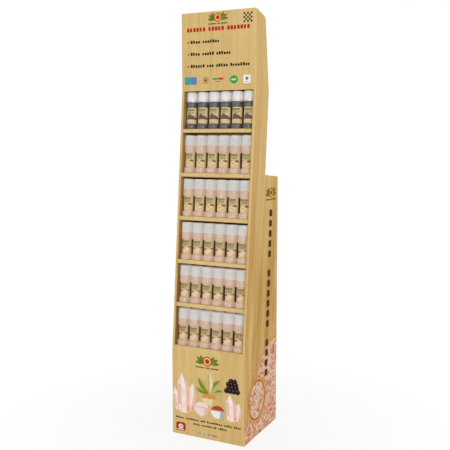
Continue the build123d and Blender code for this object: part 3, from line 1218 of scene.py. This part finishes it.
@dataclass
class JarRow:
    """A row of six sealed jars on one shelf, whose main sizes are read from the frame."""

    number: int
    lean: Lean
    waist_recess: float = 4.2 * MM
    label_margin: float = 1.3 * MM
    label_thickness: float = 0.2 * MM
    count: int = 6
    segments: int = 64
    skirt_share: float = 0.62
    ribs: int = 54

    def __post_init__(self) -> None:
        """Read the heights of the jars and their caps, their radius and their places."""
        self.jars, self.caps = f"jars_{self.number}", f"caps_{self.number}"
        self.pepper = self.number == SHELF_COUNT
        _, self.heel, self.label_top, self.rim = ring_heights(self.jars, self.lean)
        self.cap_height = ring_heights(self.caps, self.lean)[-1]
        self.top = self.rim + self.cap_height
        sine, cosine = math.sin(self.lean.angle), math.cos(self.lean.angle)
        low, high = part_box(self.caps)
        self.radius = (high.y - low.y - self.cap_height * sine) / (2 * cosine)
        self.waist = self.radius - self.waist_recess
        low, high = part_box(self.jars)
        first = low + self.radius * Vector((1.0, cosine, sine))
        pitch = (high.x - low.x - 2 * self.radius) / (self.count - 1)
        spots = [first + Vector((place * pitch, 0.0, 0.0)) for place in range(self.count)]
        self.places = [Matrix.Translation(spot) @ self.lean.axes() for spot in spots]

    def body_profile(self) -> list[Point]:
        """Draw a jar: push-up base, rounded heel, recessed label zone, shoulder and neck.

        Returns:
            Its profile.
        """
        soft, fold, heel_round = 1.6 * MM, 0.96 * MM, 3.0 * MM
        inner, edge = self.radius - heel_round, self.radius - soft
        profile = [(0.0, 2.2 * MM), (inner * 0.72, 1.6 * MM), (inner * 0.9, 0.2 * MM), (inner, 0.0)]
        profile += arc((inner, heel_round), heel_round, -75, 0, 5)
        profile += arc((edge, self.heel - soft), soft, 0, 90, 4)
        profile += arc((self.waist + fold, self.heel + fold), fold, 260, 180, 3)
        profile += arc((self.waist + fold, self.label_top - fold), fold, 180, 100, 3)
        profile += arc((edge, self.label_top + soft), soft, -90, 0, 4)
        profile += arc((edge, self.rim - soft), soft, 0, 80, 4)
        return profile + [(self.radius * 0.82, self.rim - 0.2 * MM), (0.0, self.rim - 0.2 * MM)]

    def cap_profile(self) -> list[Point]:
        """Draw a salt jar's cap: a ribbed skirt, the seam of its lid and a softly domed top.

        Returns:
            Its profile.
        """
        foot, soft, corner = self.rim + 0.3 * MM, 0.6 * MM, 3.0 * MM
        seam = self.rim + self.cap_height * self.skirt_share
        radius = self.radius - 0.1 * MM
        lid = radius - 0.3 * MM
        profile = [(0.0, foot), (radius - soft, foot), (radius, foot + soft), (radius, self.rim + 2.2 * MM)]
        profile += [(radius, self.rim + 2.6 * MM), (radius, seam - 2 * soft), (radius - soft, seam - soft)]
        profile += [(lid - soft, seam), (lid - soft, seam + soft), (lid, seam + 2 * soft)]
        profile += arc((lid - corner, self.top - soft - corner), corner, 0, 80, 7)
        return profile + [(radius * 0.6, self.top - 0.1 * MM), (0.0, self.top)]

    def build(self) -> None:
        """Build the row's labels, bodies and caps."""
        slot = "pepper_jar" if self.pepper else "salt_jar"
        wrap = self.waist + self.label_thickness
        low, high = self.heel + self.label_margin, self.label_top - self.label_margin
        sleeve = [(self.waist, low), (wrap, low), (wrap, high), (self.waist, high), (self.waist, low)]
        motif = self.motif()
        paper = LabelPaper(f"label_{motif.value}", motif, wrap, self.heel, self.label_top - self.heel)
        for index, place in enumerate(self.places, 1):
            label = MeshBuilder()
            label.turned(sleeve, self.segments, place)
            label.lay(f"label_{self.number}_{index}", paper, slot, (self.jars,), 40)
        fill = JarFill("salt_fill", SALT, glow_depth=12.0 * MM)
        if self.pepper:
            fill = JarFill("pepper_fill", PEPPER)
        bodies = self.turned(self.body_profile(), self.segments)
        bodies.lay(f"jar_bodies_{self.number}", fill, slot, (self.jars,), 50)
        if self.pepper:
            self.build_grinders()
        else:
            self.build_caps()

    def motif(self) -> LabelMotif:
        """Give the label's design for this shelf."""
        low_motif = LabelMotif.BERRY if self.number <= SHELF_COUNT // 2 else LabelMotif.LEAF
        return LabelMotif.PEPPER if self.pepper else low_motif

    def turned(
        self, profile: list[Point], segments: int, ribs: int = 0, ribbed: Point = (0.0, 0.0)
    ) -> MeshBuilder:
        """Turn one form for each jar of the row.

        Args:
            profile: Radius and height of each ring.
            segments: Number of points round each ring.
            ribs: Number of upright grip ribs.
            ribbed: Lowest and highest ring that has ribs.

        Returns:
            The builder that holds them.
        """
        mesh = MeshBuilder()
        for place in self.places:
            mesh.turned(profile, segments, place, ribs, ribbed)
        return mesh

    def build_caps(self) -> None:
        """Build the salt jars' caps."""
        ribbed = (self.rim + 2.5 * MM, self.rim + self.cap_height * self.skirt_share - 0.8 * MM)
        caps = self.turned(self.cap_profile(), 4 * self.ribs, self.ribs, ribbed)
        # The caps' glow is painted light, which lightens the shade between them
        finish = Plastic("cap_plastic", linear(222, 217, 212), glow=0.3, glow_depth=20.0 * MM)
        caps.lay(f"jar_caps_{self.number}", finish, "salt_cap", (self.caps,), 50)

    def build_grinders(self) -> None:
        """Build the pepper jars' clear overcaps, the grinder heads inside them and their plated collars."""
        wall, corner = 1.2 * MM, 2.6 * MM
        foot, outer = self.rim + 0.4 * MM, self.radius - 0.2 * MM
        head, collar_top = outer - 2.6 * MM, self.rim + 9.0 * MM
        collar_foot, collar_end = self.rim + 0.2 * MM, collar_top - 0.2 * MM
        shell = [(outer - wall, foot), (outer, foot)]
        shell += arc((outer - corner, self.top - corner), corner, 0, 85, 6)
        shell += [(0.0, self.top), (0.0, self.top - wall), (outer - corner, self.top - wall)]
        shell += [(outer - wall, self.top - corner), (outer - wall, foot)]
        crown = [(0.0, collar_top), (head, collar_top), (head, collar_top + 12.0 * MM)]
        crown += [(head - 2.6 * MM, collar_top + 15.0 * MM), (head - 3.4 * MM, self.top - 7.0 * MM)]
        crown += [(head - 5.0 * MM, self.top - 5.2 * MM), (0.0, self.top - 5.0 * MM)]
        collar = [(0.0, collar_foot), (head + 1.4 * MM, collar_foot)]
        collar += [(head + 1.4 * MM, collar_top - 1.0 * MM)]
        collar += [(head + 0.6 * MM, collar_end), (0.0, collar_end)]
        clear = Plastic("clear_plastic", linear(250, 246, 242), roughness=0.08, opacity=0.5)
        # The heads' glow is painted light, which lightens the shade they stand in
        white = Plastic("grinder_white", linear(246, 243, 240), glow=0.2)
        plated = Plastic("grinder_collar", linear(206, 206, 210), roughness=0.22, metallic=1.0)
        pieces = (("overcaps", shell, clear), ("heads", crown, white), ("collars", collar, plated))
        for name, profile, finish in pieces:
            mesh = self.turned(profile, self.segments)
            mesh.lay(f"grinder_{name}_{self.number}", finish, "grinder_cap", (self.caps,), 40)


class PrintSheet:
    """Print on one flat face of the display. Its places are in millimetres from the face's own origin."""

    def __init__(self, name: str, plane: Matrix) -> None:
        """Start an empty sheet.

        Args:
            name: Name of the piece.
            plane: Matrix whose X and Y run along the face and whose Z points out of it, in metres.
        """
        self.name = name
        self.plane = plane
        self.mesh = MeshBuilder()

    def shape(self, corners: list[Point], ink: Ink, layer: int = 0) -> None:
        """Print an outline."""
        self.mesh.plate([(across * MM, up * MM) for across, up in corners], self.plane, ink, layer)

    def disc(self, centre: Point, half: Point, ink: Ink, layer: int = 0, steps: int = 40) -> None:
        """Print an oval with its half width and half height."""
        self.shape(oval(centre, half, steps), ink, layer)

    def ring(
        self, centre: Point, radius: float, band: float, ink: Ink, layer: int = 0, steps: int = 48
    ) -> None:
        """Print a round band of even width, from its outer radius inwards.

        Args:
            centre: Centre of the band.
            radius: Its outer radius.
            band: Its width.
            ink: Its ink.
            layer: How many inks lie under it.
            steps: Number of corners.
        """
        at = (centre[0] * MM, centre[1] * MM)
        outer, inner = (oval(at, (size * MM, size * MM), steps) for size in (radius, radius - band))
        self.mesh.hoop(outer, inner, self.plane, ink, layer)

    def bar(self, low: Point, high: Point, ink: Ink, layer: int = 0, corner: float = 1.0) -> None:
        """Print a rectangle with rounded corners, from its lowest and highest corner."""
        self.shape(rounded(low, high, corner), ink, layer)

    def leaf(
        self, foot: Point, length: float, width: float, tilt: float, inks: tuple[Ink, Ink], layer: int = 0
    ) -> None:
        """Print a pointed leaf with two tones, one on each side of its vein.

        Args:
            foot: Where the leaf starts.
            length: Its length.
            width: Its width.
            tilt: Its turn from upright to the right, in degrees.
            inks: Ink of the whole leaf and ink of its left half.
            layer: How many inks lie under it.
        """
        turn = Matrix.Rotation(-math.radians(tilt), 2)
        side = [(width / 2 * math.sin(math.pi * step / 10) ** 0.8, length * step / 10) for step in range(11)]
        left = [(-across, up) for across, up in side]
        for ink, outline, level in ((inks[0], side + left[-2:0:-1], layer), (inks[1], left, layer + 1)):
            self.shape([tuple(Vector(foot) + turn @ Vector(corner)) for corner in outline], ink, level)

    def marks(self, start: Point, size: Point, groups: tuple[int, ...], ink: Ink, even: bool = False) -> None:
        """Print groups of plain blocks where a line of wording would stand.

        Args:
            start: Lower left corner of the line.
            size: Length of the line and height of its tall blocks.
            groups: How many blocks stand in each group.
            ink: Ink of the blocks.
            even: Whether all blocks are tall, or most are lower.
        """
        across, up = start
        length, height = size
        gap = 0.8
        pitch = length / (sum(groups) + gap * (len(groups) - 1))
        for index, group in enumerate(groups):
            for step in range(group):
                low = (step * 3 + index) % 5 not in (0, 3)
                top = height * (0.74 if low and not even else 1.0)
                width = pitch * (0.66 if (step + index) % 3 == 1 else 0.78)
                self.bar((across, up), (across + width, up + top), ink, corner=height * 0.16)
                across += pitch
            across += pitch * gap

    def emblem(self, centre: Point, size: float) -> None:
        """Print a plain badge: a ringed disc between two sprigs of three leaves, over a row of small blocks.

        Args:
            centre: Middle of the badge.
            size: Its whole width.
        """
        unit = size / 100
        across, up = centre
        for side in (-1, 1):
            for layer, (tilt, length) in enumerate(((86, 38), (58, 38), (30, 33))):
                foot = (across + side * 12 * unit, up - 8 * unit)
                self.leaf(foot, length * unit, 13 * unit, side * tilt, (Ink.OLIVE, Ink.MOSS), 2 * layer)
        for layer, (radius, ink) in enumerate(((18, Ink.RUST), (14.5, Ink.HONEY), (8.5, Ink.RED)), 6):
            self.disc(centre, (radius * unit, radius * unit), ink, layer)
        start, size_of_line = (across - 47 * unit, up - 28 * unit), (94 * unit, 5.4 * unit)
        self.marks(start, size_of_line, (7, 3, 6), Ink.UMBER, even=True)

    def lay(self, finish: Finish) -> None:
        """Make the piece and lay it on the display."""
        self.mesh.lay(self.name, finish, "printed_board")


@dataclass
class HeaderPrint:
    """Print on the front of the header. Its origin is the middle of the header's lower edge."""

    front: float
    low: float

    @classmethod
    def from_frame(cls) -> "HeaderPrint":
        """Read the header's front plane, and the height of the fold at its lower edge.

        Returns:
            The header's print.
        """
        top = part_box("outer_wrap")[1].z
        corners = [point.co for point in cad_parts["outer_wrap"].data.vertices]
        front = min(corner.y for corner in corners if corner.z > top - 0.1)
        return cls(front, wrap_heights(front)[0])

    def build(self) -> None:
        """Print the badge, the lines, the row of plain symbols and the chequered tile."""
        sheet = PrintSheet("header_print", face_plane((0.0, self.front, self.low), (1, 0, 0)))
        sheet.emblem((0.0, 275.0), 90.0)
        sheet.marks((-135.0, 226.0), (272.0, 15.6), (6, 5, 7), Ink.RED, even=True)
        lines = ((182.0, 128.0, (4, 7)), (136.0, 176.0, (4, 5, 6)), (90.0, 256.0, (6, 3, 5, 8)))
        for up, length, groups in lines:
            sheet.disc((-130.0, up + 5.0), (3.0, 3.0), Ink.CHARCOAL)
            sheet.marks((-119.0, up), (length, 12.4), groups, Ink.CHARCOAL)
        self.tile(sheet)
        self.symbols(sheet)
        sheet.lay(PrintInk())

    @staticmethod
    def tile(sheet: PrintSheet) -> None:
        """Print a plain chequered tile in the upper right corner.

        Args:
            sheet: Sheet to print on.
        """
        left, low, cell, count = 108.0, 249.0, 7.4, 5
        for row in range(count):
            for column in range(row % 2, count, 2):
                corner = (left + column * cell, low + row * cell)
                sheet.bar(corner, (corner[0] + cell * 0.96, corner[1] + cell * 0.96), Ink.CHARCOAL)

    @staticmethod
    def symbols(sheet: PrintSheet) -> None:
        """Print five plain symbols along the lower edge.

        Args:
            sheet: Sheet to print on.
        """
        sheet.leaf((-142.0, 28.0), 27.0, 14.0, 45.0, (Ink.LEAF, Ink.TEAL), 1)
        sheet.ring((-54.0, 40.0), 12.5, 2.4, Ink.RUST)
        discs = (
            (-54.0, 40.0, 6.0, 6.0, Ink.RUST, 0),
            (68.0, 40.0, 17.0, 15.5, Ink.LEAF, 0),
            (123.0, 42.0, 6.0, 6.0, Ink.SMOKE, 1),
        )
        for across, up, half_width, half_height, ink, layer in discs:
            sheet.disc((across, up), (half_width, half_height), ink, layer)
        bars = (
            (-146.0, 25.0, -92.0, 55.0, Ink.TEAL, 0, 3.0),
            (-118.0, 28.0, -95.0, 52.0, Ink.BLUE, 1, 2.0),
            (-23.0, 41.0, -1.0, 48.0, Ink.LEAF, 0, 2.0),
            (1.0, 41.0, 23.0, 48.0, Ink.RED, 0, 2.0),
            (-12.0, 33.0, 12.0, 35.5, Ink.SMOKE, 0, 1.0),
            (58.0, 37.0, 78.0, 43.0, Ink.CREAM, 1, 2.0),
            (108.0, 24.0, 138.0, 55.0, Ink.WHITE, 0, 2.0),
            (114.0, 28.5, 132.0, 31.0, Ink.GREY, 1, 1.0),
        )
        for left, low, right, high, ink, layer, corner in bars:
            sheet.bar((left, low), (right, high), ink, layer, corner)


@dataclass
class BasePrint:
    """Print on the front of the base. Its origin is the middle of the lower edge."""

    front: float

    def build(self) -> None:
        """Print the badge, a still life of plain shapes and the lines below it."""
        sheet = PrintSheet("base_print", face_plane((0.0, self.front, 0.0), (1, 0, 0)))
        sheet.emblem((0.0, 318.0), 108.0)
        self.sprig(sheet, (8.0, 190.0))
        self.peppercorns(sheet, (108.0, 214.0))
        for foot, width, height, tilt, layer in (
            ((-86.0, 104.0), 46.0, 118.0, 12.0, 0),
            ((-126.0, 100.0), 40.0, 96.0, -12.0, 2),
            ((-106.0, 92.0), 58.0, 166.0, -2.0, 4),
            ((126.0, 98.0), 34.0, 74.0, 10.0, 0),
            ((106.0, 92.0), 46.0, 108.0, -3.0, 2),
        ):
            self.crystal(sheet, foot, (width, height), tilt, layer)
        for foot, size, inks, layer in (
            ((10.0, 140.0), (74.0, 30.0), (Ink.CREAM, Ink.STRAW, Ink.AMBER, Ink.HONEY), 0),
            ((-26.0, 92.0), (68.0, 36.0), (Ink.BLUSH, Ink.PINK, Ink.WHITE, Ink.ROSE), 5),
            ((46.0, 92.0), (62.0, 34.0), (Ink.WHITE, Ink.GREY, Ink.RED, Ink.CLAY), 5),
        ):
            self.bowl(sheet, foot, size, inks, layer)
        self.grains(sheet)
        sheet.marks((-143.0, 66.0), (290.0, 8.0), (5, 8, 3, 9, 5, 4), Ink.CHARCOAL)
        sheet.marks((-64.0, 49.0), (150.0, 7.4), (4, 9, 5), Ink.CHARCOAL)
        sheet.bar((-143.0, 14.0), (-99.0, 50.0), Ink.RED, corner=9.0)
        sheet.disc((-121.0, 33.0), (11.0, 9.0), Ink.WHITE, 1)
        sheet.disc((-121.0, 33.0), (5.0, 4.0), Ink.TEAL, 2)
        sheet.bar((-136.0, 18.0), (-106.0, 21.5), Ink.WHITE, 1)
        for across, ink in ((-34.0, Ink.TEAL), (-14.0, Ink.GREY), (6.0, Ink.TEAL)):
            sheet.disc((across, 19.0), (4.2, 4.2), ink)
        sheet.marks((18.0, 16.5), (27.0, 5.4), (5,), Ink.RED)
        sheet.lay(PrintInk())

    @staticmethod
    def sprig(sheet: PrintSheet, foot: Point) -> None:
        """Print a fan of five broad leaves, the middle one in front.

        Args:
            sheet: Sheet to print on.
            foot: Where the leaves start.
        """
        leaves = ((-76, 62, 26), (76, 62, 26), (-40, 76, 32), (40, 76, 32), (0, 86, 36))
        for layer, (tilt, length, width) in enumerate(leaves):
            inks = (Ink.SAGE, Ink.OLIVE) if tilt else (Ink.CREAM, Ink.STRAW)
            sheet.leaf(foot, length, width, tilt, inks, 2 * layer)
        sheet.bar((foot[0] - 0.9, foot[1] + 4.0), (foot[0] + 0.9, foot[1] + 76.0), Ink.MOSS, 10, 0.8)

    @staticmethod
    def peppercorns(sheet: PrintSheet, foot: Point) -> None:
        """Print a pile of round peppercorns, each with a soft highlight.

        Args:
            sheet: Sheet to print on.
            foot: Middle of the lowest row.
        """
        size, rows = 10.5, (4, 3, 3, 2)
        for row, count in enumerate(rows):
            for place in range(count):
                across = foot[0] + (place - (count - 1) / 2) * size * 1.5 + (3.0 if row % 2 else 0.0)
                up = foot[1] + row * size * 1.25
                layer = 3 * (len(rows) - row)
                sheet.disc((across, up), (size, size), Ink.BLACK, layer, 28)
                sheet.disc((across - 2.4, up + 2.8), (size * 0.56, size * 0.5), Ink.COCOA, layer + 1, 20)
                sheet.disc((across - 3.4, up + 4.2), (2.2, 1.8), Ink.SMOKE, layer + 2, 12)

    @staticmethod
    def crystal(sheet: PrintSheet, foot: Point, size: Point, tilt: float, layer: int) -> None:
        """Print a salt crystal with flat facets.

        Args:
            sheet: Sheet to print on.
            foot: Middle of its lower edge.
            size: Its width and height.
            tilt: Its turn from upright to the right, in degrees.
            layer: How many inks lie under it.
        """
        turn = Matrix.Rotation(-math.radians(tilt), 2)
        for ink, level, shares in CRYSTAL:
            corners = [Vector((across * size[0] / 2, up * size[1])) for across, up in shares]
            sheet.shape([tuple(Vector(foot) + turn @ corner) for corner in corners], ink, layer + level)

    @staticmethod
    def bowl(sheet: PrintSheet, foot: Point, size: Point, inks: tuple[Ink, ...], layer: int) -> None:
        """Print a bowl from the side with a heap of spice in it.

        Args:
            sheet: Sheet to print on.
            foot: Middle of its foot.
            size: Its width and height at the rim.
            inks: Inks of the bowl, its shaded side, the heap and its grains.
            layer: How many inks lie under it.
        """
        clay, shade, heap, grain_ink = inks
        width, height = size
        across, rim = foot[0], foot[1] + height
        mound = arc((0, 0), 1.0, 0, 180, 20)
        sheet.shape([(across + x * width * 0.44, rim + y * height * 0.55) for x, y in mound], heap, layer)
        grains = 26
        for grain in range(grains):
            reach = math.sqrt((grain + 0.5) / grains) * 0.9
            turn = math.pi * spread(grain)
            aside, above = reach * math.cos(turn) * width * 0.42, reach * math.sin(turn) * height * 0.5
            sheet.disc((across + aside, rim + above), (1.5, 1.2), grain_ink, layer + 1, 8)
        half = [(x * width / 2, -y * height) for x, y in arc((0, 0), 1.0, 180, 0, 24)]
        sheet.shape([(across + x, rim + y) for x, y in half], clay, layer + 2)
        shaded = [(across + x, rim + y) for x, y in half if x > width * 0.12]
        sheet.shape([(across + width * 0.2, rim), *shaded], shade, layer + 3)
        reach = width / 2 + 1.5
        sheet.bar((across - reach, rim - 3.0), (across + reach, rim + 1.0), shade, layer + 4, 2.0)

    @staticmethod
    def grains(sheet: PrintSheet) -> None:
        """Print loose grains scattered on the ground in front of the bowls.

        Args:
            sheet: Sheet to print on.
        """
        inks = (Ink.ROSE, Ink.WHITE, Ink.CLAY, Ink.PINK)
        for grain in range(44):
            centre = (-142.0 + 284.0 * spread(grain, 0), 83.0 + 8.0 * spread(grain, 1))
            size = 1.0 + 1.3 * spread(grain, 2)
            sheet.disc(centre, (size, size * 0.8), inks[grain % len(inks)], 12, 7)


@dataclass
class SidePrint:
    """Print on the right side of the base. Its origin is the lower front corner."""

    side: float
    front: float
    depth: float = 320.0

    def crest(self, share: float) -> float:
        """Give the height of the salt field at a share of the depth."""
        return 62.0 + 310.0 * (1.0 - (1.0 - share) ** 2.2)

    def build(self) -> None:
        """Print the field of salt, the dish on it, the upright row of blocks and the badge."""
        plane = face_plane((self.side, self.front, 0.0), (0, 1, 0))
        salt, inks = PrintSheet("side_salt_print", plane), PrintSheet("side_print", plane)
        near, far, steps = 4.0, self.depth - 0.2, 36
        shares = [step / steps for step in range(steps + 1)]
        edge = [(near + share * (far - near), self.crest(share)) for share in shares]
        salt.shape([(far, 0.3), *reversed(edge), (near, 0.3)], Ink.PINK)
        self.ribbon(inks, edge)
        self.dish(inks, salt)
        self.scatter(salt)
        self.blocks(inks)
        inks.emblem((249.0, 970.0), 108.0)
        salt.lay(SaltPrint())
        inks.lay(PrintInk())

    @staticmethod
    def ribbon(sheet: PrintSheet, edge: list[Point]) -> None:
        """Print a two-tone ribbon along the upper edge of the salt field.

        Args:
            sheet: Sheet to print on.
            edge: Points of that edge.
        """
        for low, high, ink, layer in ((-9.0, 5.0, Ink.AMBER, 1), (-3.0, 2.5, Ink.HONEY, 2)):
            for (left, left_up), (right, right_up) in zip(edge, edge[1:]):
                lower = [(left, left_up + low), (right, right_up + low)]
                sheet.shape([*lower, (right, right_up + high), (left, left_up + high)], ink, layer)

    @staticmethod
    def dish(inks: PrintSheet, salt: PrintSheet) -> None:
        """Print a round dish of salt seen from above.

        Args:
            inks: Sheet for the dish.
            salt: Sheet for the salt.
        """
        centre, steps = (118.0, 150.0), 72
        bands = ((92.0, 16.0, Ink.AMBER, 4), (88.0, 5.0, Ink.HONEY, 5), (78.0, 3.0, Ink.RUST, 5))
        for radius, band, ink, layer in bands:
            inks.ring(centre, radius, band, ink, layer, steps)
        salt.disc(centre, (77.5, 77.5), Ink.PINK, 3, steps)

    def scatter(self, salt: PrintSheet) -> None:
        """Print loose grains above the salt field, thinning out upwards.

        Args:
            salt: Sheet for the salt.
        """
        golden, fifth = math.pi * (3 - math.sqrt(5)), 1.2566
        for grain in range(90):
            share = spread(grain)
            across = 10.0 + share * (self.depth - 24.0)
            up = self.crest(share) + 6.0 + 70.0 * spread(grain, 1) ** 2.2
            size = 1.4 + 2.2 * spread(grain, 2)
            turns = [grain * golden + step * fifth for step in range(5)]
            corners = [(across + size * math.cos(turn), up + size * 0.8 * math.sin(turn)) for turn in turns]
            salt.shape(corners, Ink.PINK)

    @staticmethod
    def blocks(sheet: PrintSheet) -> None:
        """Print an upright row of plain blocks that follows the lean of the column.

        Args:
            sheet: Sheet to print on.
        """
        low, high, slope, groups, gap = 208.0, 901.0, 0.06, (5, 6, 4), 0.9
        pitch = (high - low) / (sum(groups) + gap * (len(groups) - 1))
        up = high
        for group in groups:
            for _ in range(group):
                middle = 206.0 + (up - low) * slope
                sheet.bar((middle - 13.5, up - pitch * 0.66), (middle + 13.5, up), Ink.UMBER, 6, 5.0)
                up -= pitch
            up -= pitch * gap


@dataclass
class Studio:
    """Pale floor, soft lights and white surroundings, none of them part of the display."""

    floor_half: float = 12.0
    floor_glow: float = 0.84
    world_strength: float = 0.52
    target: tuple[float, float, float] = (0.0, 0.0, 0.85)
    # Name, place, length of side and power in watts of each square light
    lamps: tuple[tuple[str, tuple[float, float, float], float, float], ...] = (
        ("key", (1.6, -4.2, 1.3), 2.6, 74.0),
        ("fill", (-2.4, -3.6, 1.0), 2.6, 22.0),
        ("side", (4.2, -0.2, 2.3), 2.2, 32.0),
        ("back", (-2.2, 3.9, 1.9), 2.6, 56.0),
    )

    def build(self) -> None:
        """Build the world, the floor and the lights."""
        self.build_world()
        self.build_floor()
        for name, place, size, power in self.lamps:
            light = bpy.data.lights.new(name, "AREA")
            light.size, light.energy = size, power
            holder = bpy.data.objects.new(name, light)
            holder.location = place
            holder.rotation_euler = (Vector(self.target) - Vector(place)).to_track_quat("-Z", "Y").to_euler()
            bpy.context.scene.collection.objects.link(holder)
        bpy.context.scene.view_settings.view_transform = "Standard"

    def build_world(self) -> None:
        """Light the display softly from all round, and show plain white behind it."""
        world = bpy.data.worlds.new("studio")
        graph = Graph.emptied(world)
        strength = graph.plus(self.world_strength, graph.times(graph.shown(), 1.0 - self.world_strength))
        background = graph.add("Background", {"Color": (1.0, 1.0, 1.0), "Strength": strength})
        graph.add("OutputWorld", {"Surface": background.outputs[0]})
        bpy.context.scene.world = world

    def build_floor(self) -> None:
        """Lay a pale floor that keeps the display's shadow and fades into white further out."""
        half = self.floor_half
        mesh = bpy.data.meshes.new("floor")
        corners = [(-half, -half, 0), (half, -half, 0), (half, half, 0), (-half, half, 0)]
        mesh.from_pydata(corners, [], [(0, 1, 2, 3)])
        floor = bpy.data.objects.new("floor", mesh)
        bpy.context.scene.collection.objects.link(floor)
        material = bpy.data.materials.new("pale_floor")
        graph = Graph.emptied(material)
        far = graph.ramp(graph.length(graph.place()), 0.2, 1.1, self.floor_glow, 1.0)
        diffuse = graph.add("BsdfDiffuse", {"Color": (0.93, 0.93, 0.93)})
        glow = graph.add("Emission", {"Color": (1.0, 1.0, 1.0), "Strength": 1.0})
        share = graph.times(far, graph.shown())
        mixed = graph.add("MixShader", {0: share, 1: diffuse.outputs[0], 2: glow.outputs[0]})
        graph.add("OutputMaterial", {"Surface": mixed.outputs[0]})
        mesh.materials.append(material)


@dataclass
class PhotoCamera:
    """Camera at the photograph's viewing angle, from a fit to the display's outline."""

    place: tuple[float, float, float] = (1.2747, -2.5643, 1.1834)
    azimuth: float = 26.47
    pitch: float = 6.85
    focal_pixels: float = 716.0
    image_pixels: float = 450.0
    sensor: float = 36.0

    def build(self) -> None:
        """Make the camera and use it."""
        data = bpy.data.cameras.new("photo_camera")
        data.sensor_width = self.sensor
        data.lens = self.sensor * self.focal_pixels / self.image_pixels
        data.clip_end = 100.0
        camera = bpy.data.objects.new("photo_camera", data)
        camera.location = self.place
        camera.rotation_euler = (math.radians(90.0 - self.pitch), 0.0, math.radians(self.azimuth))
        bpy.context.scene.collection.objects.link(camera)
        bpy.context.scene.camera = camera


def main() -> None:
    """Build the display's looks in order."""
    logging.basicConfig(level=logging.INFO, format="%(name)s: %(message)s")
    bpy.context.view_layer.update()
    lean = Lean.from_frame()
    LOG.info("lean %.3f degrees, shelf pitch %.2f mm", math.degrees(lean.angle), lean.pitch / MM)
    PhotoCamera().build()
    Studio().build()
    Boards(lean).dress()
    wrap_low, wrap_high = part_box("outer_wrap")
    HeaderPrint.from_frame().build()
    BasePrint(wrap_low.y).build()
    SidePrint(wrap_high.x, wrap_low.y).build()
    for number in range(1, SHELF_COUNT + 1):
        JarRow(number, lean).build()


if __name__ == "__main__":
    main()
